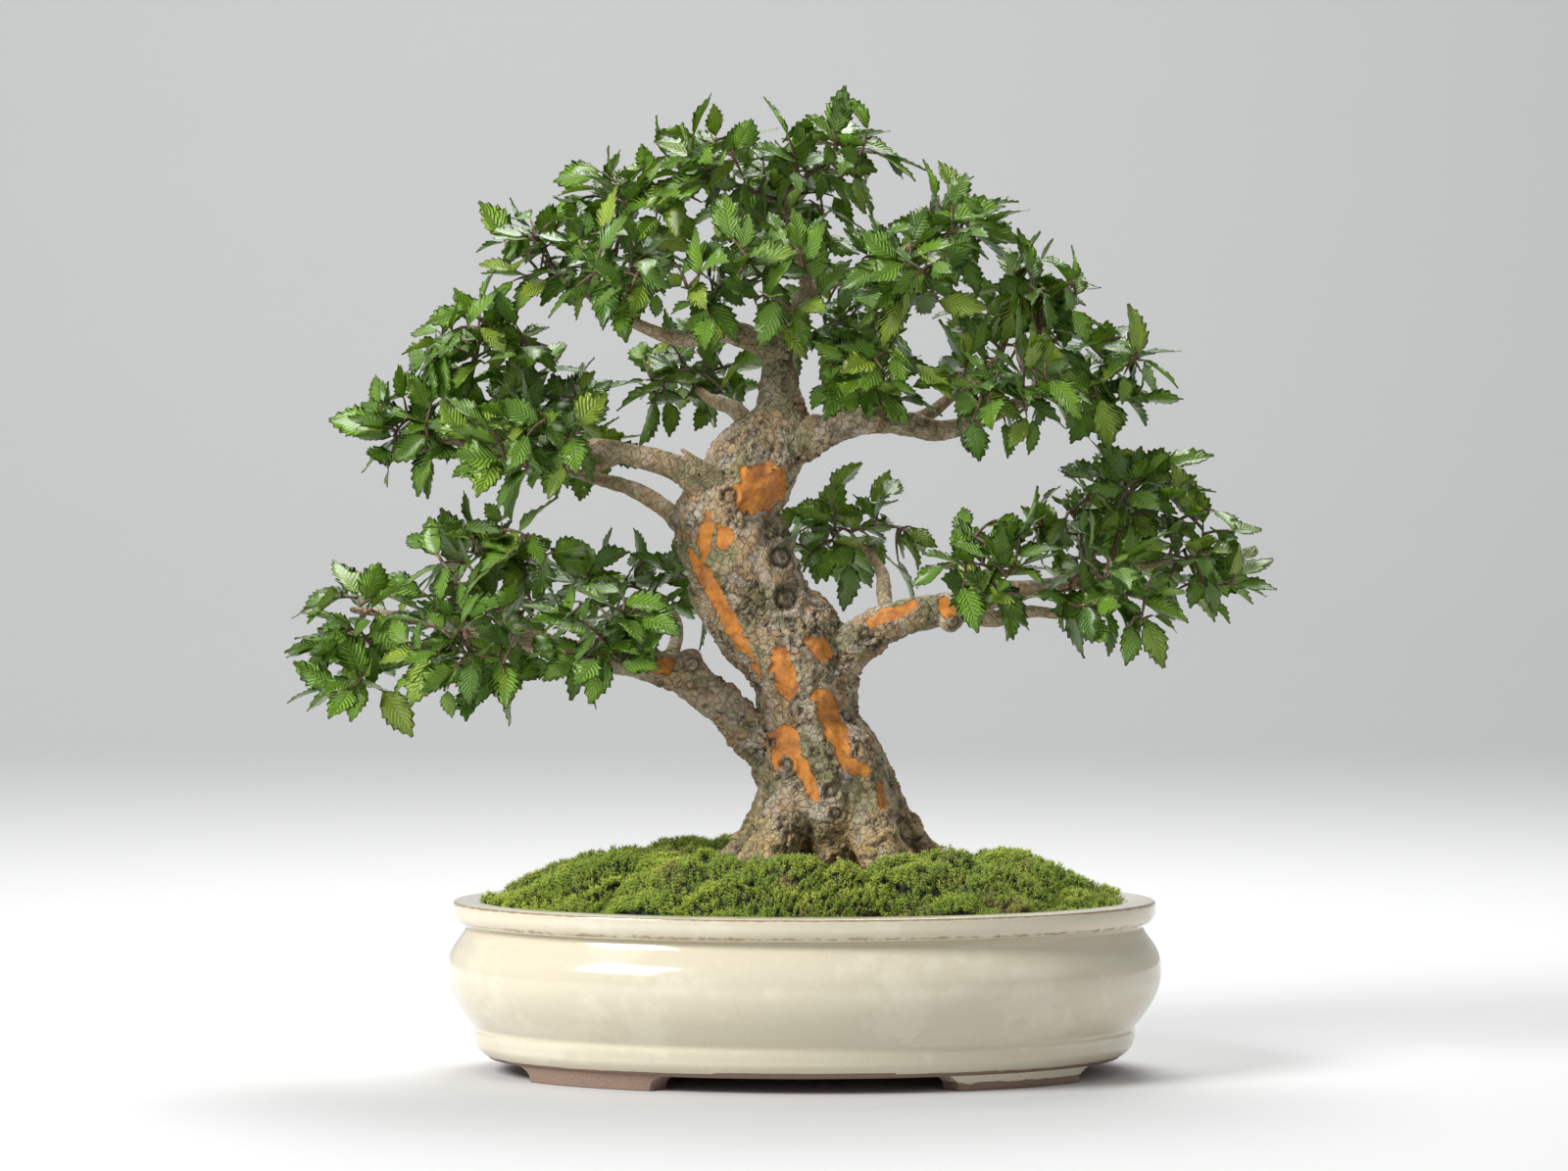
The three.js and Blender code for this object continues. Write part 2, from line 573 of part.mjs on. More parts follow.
/**
 * The shoots: [name, limb, share of the limb's line where it grows, centre of its leaves, and how
 * far the leaves reach from it each way]. A limb's forks follow the limb as limb:1.
 */
const SHOOTS = [
  ['shoot_lower_left_tip', 'limb_lower_left:0', 0.97, [-202, 0, 191], [24, 24, 30]],
  ['shoot_lower_left_front', 'limb_lower_left:0', 0.76, [-147, -40, 188], [32, 26, 26]],
  ['shoot_lower_left_back', 'limb_lower_left:1', 0.92, [-152, 40, 206], [34, 26, 22]],
  ['shoot_lower_left_top', 'limb_lower_left:0', 0.84, [-140, 2, 231], [30, 26, 20]],
  ['shoot_lower_left_inner', 'limb_lower_left:0', 0.5, [-90, -38, 196], [28, 22, 22]],
  ['shoot_back_left', 'limb_back_left:0', 0.95, [-76, 76, 215], [34, 26, 20]],
  ['shoot_middle_left_tip', 'limb_middle_left:0', 0.97, [-174, 0, 288], [22, 24, 20]],
  ['shoot_middle_left_front', 'limb_middle_left:0', 0.72, [-126, -38, 282], [30, 26, 20]],
  ['shoot_middle_left_back', 'limb_middle_left:0', 0.66, [-124, 32, 300], [32, 24, 18]],
  ['shoot_middle_left_top', 'limb_middle_left:0', 0.86, [-146, 3, 326], [28, 24, 18]],
  ['shoot_rear_left', 'limb_rear_left:0', 0.95, [-119, 94, 282], [36, 26, 20]],
  ['shoot_upper_back', 'limb_upper_back:0', 0.95, [-53, 76, 314], [26, 24, 18]],
  ['shoot_crown_left_tip', 'limb_crown_left:0', 0.97, [-116, 0, 366], [22, 24, 20]],
  ['shoot_crown_left_front', 'limb_crown_left:0', 0.7, [-82, -40, 357], [26, 24, 20]],
  ['shoot_crown_left_back', 'limb_crown_left:0', 0.78, [-82, 32, 386], [28, 26, 24]],
  ['shoot_apex_left', 'limb_crown_right:1', 0.9, [-42, -10, 407], [24, 26, 20]],
  ['shoot_apex_right', 'limb_crown_right:1', 0.98, [12, 0, 417], [28, 26, 18]],
  ['shoot_apex_front', 'limb_crown_right:1', 0.5, [-14, -52, 364], [30, 24, 20]],
  ['shoot_apex_back', 'limb_crown_right:1', 0.7, [-10, 52, 392], [28, 26, 22]],
  ['shoot_crown_right_tip', 'limb_crown_right:0', 0.98, [66, 2, 376], [18, 24, 20]],
  ['shoot_crown_right_front', 'limb_crown_right:0', 0.6, [44, -44, 356], [24, 22, 18]],
  ['shoot_rear', 'limb_rear:0', 0.95, [16, 98, 338], [34, 26, 22]],
  ['shoot_upper_right_tip', 'limb_upper_right:0', 0.97, [138, 2, 312], [20, 24, 22]],
  ['shoot_upper_right_top', 'limb_upper_right:0', 0.82, [106, -2, 346], [22, 22, 18]],
  ['shoot_upper_right_front', 'limb_upper_right:0', 0.68, [88, -42, 305], [28, 24, 20]],
  ['shoot_upper_right_back', 'limb_upper_right:1', 0.96, [94, 54, 332], [30, 24, 22]],
  ['shoot_upper_right_inner', 'limb_upper_right:0', 0.36, [30, -42, 313], [22, 20, 18]],
  ['shoot_lower_right_tip', 'limb_lower_right:0', 0.97, [178, 2, 230], [20, 24, 28]],
  ['shoot_lower_right_top', 'limb_lower_right:0', 0.82, [146, 6, 259], [26, 24, 18]],
  ['shoot_lower_right_front', 'limb_lower_right:0', 0.74, [134, -40, 214], [28, 24, 22]],
  ['shoot_lower_right_back', 'limb_lower_right:1', 0.9, [126, 52, 240], [30, 26, 22]],
  ['shoot_lower_right_inner', 'limb_lower_right:0', 0.52, [82, -42, 226], [22, 20, 24]],
  ['shoot_back_right', 'limb_back_right:0', 0.95, [22, 84, 241], [34, 24, 22]],
];

/** A leaf blade, rooted a little behind the origin, its tip along +X, a flat lens in section. */
function leafBlade(grown) {
  const length = LEAF.length + grown;
  const half = LEAF.width / 2 + grown;
  const thick = LEAF.thickness / 2 + grown;
  const geometry = new THREE.OctahedronGeometry(1, 0);
  const position = geometry.attributes.position;
  for (let i = 0; i < position.count; i += 1) {
    const x = position.getX(i);
    const side = position.getZ(i);
    const up = position.getY(i);
    const along = x > 0.5 ? length : x < -0.5 ? -LEAF.rooted - grown : length * LEAF.widestAt;
    position.setXYZ(i, along, -side * half, up * thick);
  }
  return geometry;
}

/** A leaf blade that hangs out from a twig: its place, heading, droop and roll. */
function placedLeaf(place, heading, droop, roll, grown = 0) {
  const geometry = leafBlade(grown);
  const turn = new THREE.Euler(roll, droop, heading, 'ZYX');
  geometry.applyMatrix4(new THREE.Matrix4().makeRotationFromEuler(turn));
  geometry.translate(place.x, place.y, place.z);
  return solidOf(geometry);
}

/** The most that a twig bows, as a share of its length: more would fold a short twig onto itself. */
const MOST_BOW = 0.2;

/** The twigs of a shoot: one from the limb into the leaves, then side twigs that fan out. */
function shootTwigs(base, centre, reach, random) {
  const out = new THREE.Vector3().subVectors(centre, base);
  const lines = [];
  const end = centre.clone().addScaledVector(out.clone().normalize(), reach.x * 0.25);
  const bow = Math.min(5 + 4 * random(), MOST_BOW * base.distanceTo(end));
  const middle = base.clone().lerp(end, 0.5).add(new THREE.Vector3(0, 0, bow));
  lines.push([[...base.toArray(), 1.5], [...middle.toArray(), 1.2], [...end.toArray(), 1]]);
  const turn = Math.PI * random();
  for (const angle of [turn, turn + Math.PI - 0.5]) {
    const tip = new THREE.Vector3(
      centre.x + Math.cos(angle) * reach.x * 0.6,
      centre.y + Math.sin(angle) * reach.y * 0.6,
      centre.z + (random() - 0.45) * reach.z * 1.3,
    );
    const rise = Math.min(3, MOST_BOW * middle.distanceTo(tip));
    const bend = middle.clone().lerp(tip, 0.5).add(new THREE.Vector3(0, 0, rise));
    lines.push([[...middle.toArray(), 1.1], [...bend.toArray(), 1], [...tip.toArray(), 1]]);
  }
  return lines;
}

/** A twig is a thin stem with few sides and one bend. */
function twig(line, grown) {
  return stem(line, 3, 2, grown);
}

/** Leaves to try along a twig, alternating from side to side, with one at its tip. */
function leafSites(line, count, random) {
  const sites = [];
  const [from, to] = [pointAlong(line, 0.9), pointAlong(line, 1)];
  const heading = Math.atan2(to.y - from.y, to.x - from.x);
  for (let i = 0; i < count; i += 1) {
    const share = 1 - (0.7 * i) / count;
    const side = (i === 0 ? 0.3 : 2.4) * (random() - 0.5);
    sites.push({
      place: pointAlong(line, Math.min(share, 0.985)),
      heading: heading + side,
      droop: 0.15 + 0.75 * random(),
      roll: 0.9 * (random() - 0.5),
    });
  }
  return sites;
}

/** All the shoots. A leaf that would touch another shoot, wood or moss is left off. */
function buildShoots(grownWood, others) {
  const drafts = SHOOTS.map(([name, limb, share, centre, reach], order) => {
    const random = makeRandom(97 + 31 * order);
    const [limbName, fork] = limb.split(':');
    const base = pointAlong(LIMBS[limbName][Number(fork)], share);
    const cutBack = (solid) => grownWood.reduce(
      (rest, wood) => (touches(rest, wood) ? rest.subtract(wood) : rest), solid,
    );
    let lines;
    let twigs;
    do {
      lines = shootTwigs(base, new THREE.Vector3(...centre), new THREE.Vector3(...reach), random);
      twigs = biggestBody(cutBack(join(lines.map((line) => twig(line, 0)))));
    } while (tightestSpacing(twigs) < SLIVER);
    const grown = join(lines.map((line) => twig(line, LEAF_CLEARANCE)));
    return { name, lines, random, solid: twigs, keepClear: [grown] };
  });
  for (const draft of drafts) {
    const rivals = drafts.filter((other) => other !== draft);
    const obstacles = [...others, ...grownWood];
    for (const line of draft.lines) {
      for (const site of leafSites(line, line === draft.lines[0] ? 1 : 2, draft.random)) {
        const { place, heading, droop, roll } = site;
        const room = placedLeaf(place, heading, droop, roll, LEAF_CLEARANCE);
        const blocked = obstacles.some((solid) => touches(room, solid))
          || rivals.some((rival) => rival.keepClear.some((solid) => touches(room, solid)));
        if (blocked) continue;
        const joined = draft.solid.add(placedLeaf(place, heading, droop, roll));
        if (tightestSpacing(joined) < SLIVER) continue;
        draft.solid = joined;
        draft.keepClear.push(room);
      }
    }
    draft.solid = biggestBody(draft.solid);
  }
  return drafts;
}

// ---------------------------------------------------------------------------------------------
// Assembly
// ---------------------------------------------------------------------------------------------

const FINISHES = {
  glaze: new THREE.MeshStandardMaterial({ color: 0xdcd5be, roughness: 0.22, metalness: 0 }),
  screen: new THREE.MeshStandardMaterial({ color: 0x2a2c2b, roughness: 0.6, metalness: 0 }),
  wire: new THREE.MeshStandardMaterial({ color: 0xa5a7a8, roughness: 0.35, metalness: 1 }),
  grit: new THREE.MeshStandardMaterial({ color: 0x8a6a4c, roughness: 0.95, metalness: 0 }),
  soil: new THREE.MeshStandardMaterial({ color: 0x3b2a1d, roughness: 0.98, metalness: 0 }),
  moss: new THREE.MeshStandardMaterial({ color: 0x75852b, roughness: 0.95, metalness: 0 }),
  bark: new THREE.MeshStandardMaterial({ color: 0x8d8271, roughness: 0.85, metalness: 0 }),
  leaf: new THREE.MeshStandardMaterial({ color: 0x47702c, roughness: 0.45, metalness: 0 }),
};

const group = new THREE.Group();

/** Adds one named piece with a material of its own to the group. */
function addPiece(name, solid, finish) {
  const mesh = new THREE.Mesh(geometryOf(solid), FINISHES[finish].clone());
  mesh.name = name;
  group.add(mesh);
}

const trunk = buildTrunk(0);
const trunkGrown = buildTrunk(GAP);
const { limbs, grownWood } = buildLimbs(trunkGrown);
const mossPads = buildMossPads(trunkGrown);

addPiece('pot', buildPot(), 'glaze');
for (const [word, side] of [['left', -1], ['right', 1]]) {
  addPiece(`drain_screen_${word}`, buildScreen(side), 'screen');
  addPiece(`screen_wire_${word}`, buildWire(side), 'wire');
}
addPiece('drainage_layer', buildDrainageLayer(), 'grit');
addPiece('soil', buildSoil(trunkGrown), 'soil');
for (const [name, solid] of mossPads) addPiece(name, solid, 'moss');
addPiece('trunk', trunk, 'bark');
for (const [name, solid] of limbs) addPiece(name, solid, 'bark');
for (const { name, solid } of buildShoots(grownWood, [...mossPads.values()])) {
  addPiece(name, solid, 'leaf');
}

const box = new THREE.Box3().setFromObject(group, true);
const middle = box.getCenter(new THREE.Vector3());
group.position.set(-middle.x, -middle.y, -box.min.z);
group.updateMatrixWorld(true);

export default group;
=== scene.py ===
"""The looks of an elm bonsai in an oval glazed pot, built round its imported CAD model.

Every length in the classes below is in millimetres, laid out from the middle of the pot with zero
height under its feet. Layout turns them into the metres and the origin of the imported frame. The
pot, the moss, the soil, the wood and the foliage are each a class, and so is each finish.
"""

from __future__ import annotations

import json
import logging
import math
from collections.abc import Callable, Iterable, Sequence
from dataclasses import dataclass, field
from enum import Enum

import bmesh
import bpy
import numpy as np
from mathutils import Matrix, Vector, noise

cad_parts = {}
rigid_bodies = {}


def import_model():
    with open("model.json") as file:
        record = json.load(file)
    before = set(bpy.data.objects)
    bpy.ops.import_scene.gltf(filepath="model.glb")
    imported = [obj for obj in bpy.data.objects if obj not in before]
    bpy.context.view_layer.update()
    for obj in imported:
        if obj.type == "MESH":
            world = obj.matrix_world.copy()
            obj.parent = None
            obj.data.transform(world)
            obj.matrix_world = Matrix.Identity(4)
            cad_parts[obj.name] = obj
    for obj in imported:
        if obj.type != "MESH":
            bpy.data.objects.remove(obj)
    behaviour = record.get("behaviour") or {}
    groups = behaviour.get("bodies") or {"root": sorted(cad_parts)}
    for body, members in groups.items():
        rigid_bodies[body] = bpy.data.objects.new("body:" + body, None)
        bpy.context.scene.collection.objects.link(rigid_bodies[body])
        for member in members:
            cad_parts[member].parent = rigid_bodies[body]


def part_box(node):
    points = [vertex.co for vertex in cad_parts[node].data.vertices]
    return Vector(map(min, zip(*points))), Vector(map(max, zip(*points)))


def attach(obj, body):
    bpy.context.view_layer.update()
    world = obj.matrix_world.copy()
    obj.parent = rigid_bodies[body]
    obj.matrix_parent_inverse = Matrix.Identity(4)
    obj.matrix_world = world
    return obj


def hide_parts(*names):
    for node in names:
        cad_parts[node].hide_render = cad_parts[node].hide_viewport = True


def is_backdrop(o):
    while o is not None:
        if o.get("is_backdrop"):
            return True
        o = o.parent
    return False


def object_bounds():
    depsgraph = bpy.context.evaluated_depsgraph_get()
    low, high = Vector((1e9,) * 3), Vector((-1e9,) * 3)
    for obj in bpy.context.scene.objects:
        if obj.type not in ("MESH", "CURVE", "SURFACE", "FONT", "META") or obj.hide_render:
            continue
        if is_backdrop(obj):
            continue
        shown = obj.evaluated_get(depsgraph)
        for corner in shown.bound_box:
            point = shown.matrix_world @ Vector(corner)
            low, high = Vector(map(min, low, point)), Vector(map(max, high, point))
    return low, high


LOG = logging.getLogger("bonsai")
MM = 0.001
BODY = "root"
Array = np.ndarray
Generator = np.random.Generator
Material = bpy.types.Material
Object = bpy.types.Object
Socket = bpy.types.NodeSocket
Colour = tuple[float, float, float, float]
Field = Callable[[Array, Array], Array]  # gives a value for each pair of coordinates
Pad = tuple[float, float, float, float, float]  # middle x and y, half-width, half-depth, height


# ---- Layout and meshes ----


class Layout:
    """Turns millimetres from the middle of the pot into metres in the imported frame."""

    def __init__(self) -> None:
        """Reads the middle of the pot from the frame."""
        low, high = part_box("pot")
        self.origin = np.array([(low.x + high.x) / 2, (low.y + high.y) / 2, low.z])

    def metres(self, points: Array) -> Array:
        """Places points.

        Args:
            points: Places in millimetres, one row each.

        Returns:
            The same places in metres, in the frame.
        """
        return np.asarray(points, float) * MM + self.origin

    def box(self, node: str) -> tuple[Array, Array]:
        """Reads a CAD node's box.

        Args:
            node: Name of the node.

        Returns:
            Its middle and its half-size, in millimetres from the middle of the pot.
        """
        low, high = (np.array(corner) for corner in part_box(node))
        return ((low + high) / 2 - self.origin) / MM, (high - low) / 2 / MM

    def whole(self) -> tuple[Array, Array]:
        """Gives the corners of all that there is so far, in millimetres from the pot's middle."""
        low, high = (np.array(corner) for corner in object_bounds())
        return (low - self.origin) / MM, (high - self.origin) / MM


def deselect_all() -> None:
    """Leaves nothing selected and no object in edit mode."""
    if bpy.context.object and bpy.context.object.mode != "OBJECT":
        bpy.ops.object.mode_set(mode="OBJECT")
    bpy.ops.object.select_all(action="DESELECT")


def activate(piece: Object) -> None:
    """Makes one object the only selected one and the active one."""
    deselect_all()
    piece.select_set(True)
    bpy.context.view_layer.objects.active = piece


def join_into(body: Object, *parts: Object) -> None:
    """Joins the parts to the body, which keeps its name and its materials' order.

    Args:
        body: The object that stays.
        *parts: The objects that go into it.
    """
    activate(body)
    for part in parts:
        part.select_set(True)
    bpy.ops.object.join()


def vertex_places(piece: Object) -> Array:
    """Reads a mesh's vertices as rows of x, y, z.

    Args:
        piece: The object.

    Returns:
        The places, in the frame.
    """
    places = np.empty(len(piece.data.vertices) * 3)
    piece.data.vertices.foreach_get("co", places)
    return places.reshape(-1, 3)


def set_vertex_places(piece: Object, places: Array) -> None:
    """Moves a mesh's vertices to the given rows of x, y, z."""
    piece.data.vertices.foreach_set("co", np.ascontiguousarray(places, dtype=np.float32).ravel())
    piece.data.update()


def apply_modifier(piece: Object, kind: str, **settings: object) -> None:
    """Adds a modifier with the given settings and applies it at once.

    Args:
        piece: The object to change.
        kind: Blender's name for the modifier's type.
        **settings: Values for the modifier's own properties.
    """
    activate(piece)
    modifier = piece.modifiers.new(kind.lower(), kind)
    for name, value in settings.items():
        setattr(modifier, name, value)
    bpy.ops.object.modifier_apply(modifier=modifier.name)


def wrapped_grid(name: str, around: int, along: int, surface: Field) -> Object:
    """Wraps a flat grid over a closed surface and welds its seams and poles.

    Args:
        name: Name of the new object.
        around: Cells along the first side of the grid.
        along: Cells along the second side.
        surface: Gives places in metres for two arrays that each run from 0 to 1.

    Returns:
        The closed mesh object, smooth shaded.
    """
    deselect_all()
    bpy.ops.mesh.primitive_grid_add(x_subdivisions=around, y_subdivisions=along, size=1.0)
    piece = bpy.context.object
    piece.name = piece.data.name = name
    flat = vertex_places(piece) + 0.5
    set_vertex_places(piece, surface(flat[:, 0], flat[:, 1]))
    bpy.ops.object.mode_set(mode="EDIT")
    bpy.ops.mesh.select_all(action="SELECT")
    bpy.ops.mesh.remove_doubles(threshold=2e-6)
    bpy.ops.mesh.normals_make_consistent(inside=False)
    bpy.ops.object.mode_set(mode="OBJECT")
    bpy.ops.object.shade_smooth()
    return piece


def mesh_piece(
    name: str,
    places: Array,
    faces: Array,
    attributes: dict[str, Array] | None = None,
) -> Object:
    """Makes an object from arrays, for meshes of many thousands of repeated faces.

    Args:
        name: Name of the new object.
        places: Vertices in metres, one row each.
        faces: Corners of the faces, one row each; a corner of -1 is left out.
        attributes: Numbers for each vertex, by attribute name.

    Returns:
        The new object, smooth shaded.
    """
    mesh = bpy.data.meshes.new(name)
    mesh.vertices.add(len(places))
    mesh.vertices.foreach_set("co", np.ascontiguousarray(places, dtype=np.float32).ravel())
    corners = (faces >= 0).sum(axis=1)
    mesh.loops.add(int(corners.sum()))
    mesh.loops.foreach_set("vertex_index", faces[faces >= 0].astype(np.int32))
    mesh.polygons.add(len(faces))
    mesh.polygons.foreach_set("loop_start", (np.cumsum(corners) - corners).astype(np.int32))
    mesh.polygons.foreach_set("use_smooth", np.ones(len(faces), dtype=bool))
    mesh.update(calc_edges=True)
    for key, values in (attributes or {}).items():
        set_attribute(mesh, key, values)
    piece = bpy.data.objects.new(name, mesh)
    bpy.context.scene.collection.objects.link(piece)
    return piece


def set_attribute(mesh: bpy.types.Mesh, name: str, values: Array) -> None:
    """Stores one number for each vertex of a mesh under a name."""
    layer = mesh.attributes.get(name) or mesh.attributes.new(name, "FLOAT", "POINT")
    layer.data.foreach_set("value", np.ascontiguousarray(values, dtype=np.float32))


@dataclass
class Stamped:
    """Copies of small prototypes gathered into one mesh, with numbers for each vertex."""

    places: list[Array] = field(default_factory=list)
    faces: list[Array] = field(default_factory=list)
    numbers: dict[str, list[Array]] = field(default_factory=dict)
    size: int = 0

    def add(self, places: Array, faces: Array, **numbers: Array | float) -> None:
        """Adds one set of vertices and faces.

        Args:
            places: Vertices, one row each.
            faces: Corners of the faces, counted within these vertices.
            **numbers: A number, or an array of them, for each attribute.
        """
        self.places.append(places)
        self.faces.append(np.where(faces < 0, faces, faces + self.size))
        self.size += len(places)
        for key, value in numbers.items():
            values = np.broadcast_to(np.asarray(value, float), (len(places),))
            self.numbers.setdefault(key, []).append(values)

    def add_copies(
        self,
        prototype: tuple[Array, Array],
        turns: Array,
        moves: Array,
        own: dict[str, Array],
        each: dict[str, Array],
    ) -> None:
        """Adds many turned copies of a prototype at once.

        Args:
            prototype: Its vertices and its faces.
            turns: A three by three matrix for each copy.
            moves: Where each copy goes.
            own: Attributes that belong to the prototype's vertices.
            each: Attributes that belong to the copies.
        """
        vertices, faces = prototype
        count = len(moves)
        places = np.einsum("nij,vj->nvi", turns, vertices) + moves[:, None, :]
        offsets = (np.arange(count) * len(vertices))[:, None, None]
        numbers = {key: np.tile(value, count) for key, value in own.items()}
        numbers |= {key: np.repeat(value, len(vertices)) for key, value in each.items()}
        copied = np.where(faces[None] < 0, faces[None], faces[None] + offsets)
        self.add(places.reshape(-1, 3), copied.reshape(-1, faces.shape[1]), **numbers)

    def piece(self, name: str, layout: Layout) -> Object:
        """Makes the object, with its places turned from millimetres to the frame."""
        numbers = {key: np.concatenate(value) for key, value in self.numbers.items()}
        places = layout.metres(np.concatenate(self.places))
        return mesh_piece(name, places, np.concatenate(self.faces), numbers)


def finish_piece(piece: Object, materials: Sequence[Material], slot: str, *nodes: str) -> None:
    """Dresses a finished piece and hands it to the frame.

    Args:
        piece: The finished object.
        materials: Its materials, in the order of its slots; none when it has them already.
        slot: The record's material slot; not used.
        *nodes: The CAD nodes that it stands for.
    """
    for material in materials:
        piece.data.materials.append(material)
    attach(piece, BODY)
    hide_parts(*nodes)
    triangles = sum(len(face.vertices) - 2 for face in piece.data.polygons)
    LOG.info("%s: %d triangles", piece.name, triangles)


def smoothstep(low: float, high: float, value: Array) -> Array:
    """Runs smoothly from 0 at low to 1 at high."""
    share = np.clip((value - low) / (high - low), 0.0, 1.0)
    return share * share * (3.0 - 2.0 * share)


def unit(vectors: Array) -> Array:
    """Scales each row to a length of one."""
    return vectors / np.maximum(np.linalg.norm(vectors, axis=-1, keepdims=True), 1e-9)


def fractal(points: Array, size: float, octaves: int = 3, shift: float = 0.0) -> Array:
    """Gives smooth repeatable noise of about -1 to 1.

    Args:
        points: Places, one row each.
        size: Distance between lumps, in the same unit.
        octaves: How many finer layers it has.
        shift: Moves the pattern, so that two layers differ.

    Returns:
        One number for each place.
    """
    scaled = points / size + shift
    return np.array([noise.fractal(Vector(p), 0.8, 2.0, octaves) for p in scaled])


# ---- Shader nodes ----


class NodeSheet:
    """A node tree that is being wired, with short calls for what the finishes use."""

    def __init__(self, tree: bpy.types.NodeTree) -> None:
        """Starts on a tree."""
        self.tree = tree

    def add(self, kind: str, values: dict | None = None, **settings: object) -> bpy.types.Node:
        """Adds a node.

        Args:
            kind: Blender's name for the node's type, without ShaderNode.
            values: A number, colour or socket for each input, by name or place.
            **settings: Values for the node's own properties.

        Returns:
            The new node.
        """
        node = self.tree.nodes.new("ShaderNode" + kind)
        for name, value in settings.items():
            setattr(node, name, value)
        self.feed(node, values or {})
        return node

    def feed(self, node: bpy.types.Node, values: dict) -> None:
        """Sets a node's inputs, each to a number, a colour or a socket.

        Args:
            node: The node.
            values: A number, colour or socket for each input, by name or place.
        """
        for key, value in values.items():
            if isinstance(value, Socket):
                self.tree.links.new(value, node.inputs[key])
            else:
                node.inputs[key].default_value = value

    def maths(self, operation: str, a: object, b: object = 0.0) -> Socket:
        """Adds a Math node and returns its result."""
        return self.add("Math", {0: a, 1: b}, operation=operation).outputs[0]

    def times(self, a: object, b: object) -> Socket:
        """Multiplies two numbers."""
        return self.maths("MULTIPLY", a, b)

    def plus(self, a: object, b: object) -> Socket:
        """Adds two numbers."""
        return self.maths("ADD", a, b)

    def minus(self, a: object, b: object) -> Socket:
        """Takes the second number from the first."""
        return self.maths("SUBTRACT", a, b)

    def inverse(self, mask: object) -> Socket:
        """Gives one where a mask is nought, and the other way round."""
        return self.minus(1.0, mask)

    def cover(self, colour: object, over: object, mask: object, share: float) -> Socket:
        """Covers a colour with another where a mask says, by no more than the share."""
        return self.mix(self.times(mask, share), colour, over)

    def mix(self, share: object, a: object, b: object, blend: str = "MIX") -> Socket:
        """Adds a colour mix and returns its result."""
        node = self.add("Mix", {0: share, 6: a, 7: b}, data_type="RGBA", blend_type=blend)
        return node.outputs[2]

    def step(self, value: object, low: object, high: object) -> Socket:
        """Adds a smooth step from 0 at low to 1 at high."""
        values = {"Value": value, "From Min": low, "From Max": high}
        return self.add("MapRange", values, interpolation_type="SMOOTHSTEP").outputs[0]

    def noise(self, at: object, scale: object, detail: float = 3.0, warp: float = 0.0) -> Socket:
        """Adds a noise of about 0 to 1 and returns it."""
        values = {"Vector": at, "Scale": scale, "Detail": detail, "Distortion": warp}
        return self.add("TexNoise", values).outputs["Fac"]

    def cells(self, at: object, scale: object, feature: str = "F1") -> bpy.types.Node:
        """Adds a Voronoi texture and returns the node."""
        return self.add("TexVoronoi", {"Vector": at, "Scale": scale}, feature=feature)

    def attribute(self, name: str) -> Socket:
        """Reads a number that the mesh stores for each vertex."""
        return self.add("Attribute", attribute_name=name).outputs["Fac"]

    def bump(self, height: object, distance: float, strength: float = 1.0) -> Socket:
        """Turns a height of 0 to 1 into a normal."""
        values = {"Height": height, "Distance": distance, "Strength": strength}
        return self.add("Bump", values).outputs[0]

    def group(self, tree: bpy.types.NodeTree, values: dict) -> bpy.types.Node:
        """Places a node group with its own values."""
        return self.add("Group", values, node_tree=tree)


def new_group(
    name: str, inputs: Iterable[tuple[str, str]], outputs: Iterable[tuple[str, str]]
) -> tuple[NodeSheet, bpy.types.Node, bpy.types.Node]:
    """Starts a shader node group.

    Args:
        name: Name of the group.
        inputs: Names and kinds of its inputs.
        outputs: Names and kinds of its outputs.

    Returns:
        The sheet to wire it on, its input node and its output node.
    """
    tree = bpy.data.node_groups.new(name, "ShaderNodeTree")
    for label, kind in inputs:
        tree.interface.new_socket(label, in_out="INPUT", socket_type="NodeSocket" + kind)
    for label, kind in outputs:
        tree.interface.new_socket(label, in_out="OUTPUT", socket_type="NodeSocket" + kind)
    return NodeSheet(tree), tree.nodes.new("NodeGroupInput"), tree.nodes.new("NodeGroupOutput")


class Effects:
    """The effects that several finishes share, each built once."""

    def __init__(self) -> None:
        """Builds the groups."""
        self.mottle = self._mottle()
        self.grain = self._grain()

    @staticmethod
    def _mottle() -> bpy.types.NodeTree:
        """Builds soft patches in two sizes, put out as a mask.

        Returns:
            The group.
        """
        sheet, given, made = new_group(
            "mottle", [("Place", "Vector"), ("Size", "Float"), ("Share", "Float")], [("Mask", "Float")]
        )
        scale = sheet.maths("DIVIDE", 1.0, given.outputs["Size"])
        broad = sheet.noise(given.outputs["Place"], scale, 4.0)
        fine = sheet.noise(given.outputs["Place"], sheet.times(scale, 4.3), 5.0)
        both = sheet.plus(broad, sheet.times(fine, 0.45))
        low = sheet.minus(1.02, sheet.times(given.outputs["Share"], 0.5))
        mask = sheet.step(both, low, sheet.plus(low, 0.12))
        sheet.tree.links.new(mask, made.inputs["Mask"])
        return sheet.tree

    @staticmethod
    def _grain() -> bpy.types.NodeTree:
        """Builds the fine unevenness of an earthy surface, put out as a height and a mask.

        Returns:
            The group.
        """
        sheet, given, made = new_group(
            "grain", [("Place", "Vector"), ("Size", "Float")], [("Height", "Float"), ("Pits", "Float")]
        )
        scale = sheet.maths("DIVIDE", 1.0, given.outputs["Size"])
        rough = sheet.noise(given.outputs["Place"], scale, 6.0)
        cells = sheet.cells(given.outputs["Place"], scale)
        pits = sheet.step(cells.outputs["Distance"], 0.05, 0.35)
        height = sheet.times(rough, sheet.plus(0.6, sheet.times(pits, 0.4)))
        sheet.tree.links.new(height, made.inputs["Height"])
        sheet.tree.links.new(pits, made.inputs["Pits"])
        return sheet.tree


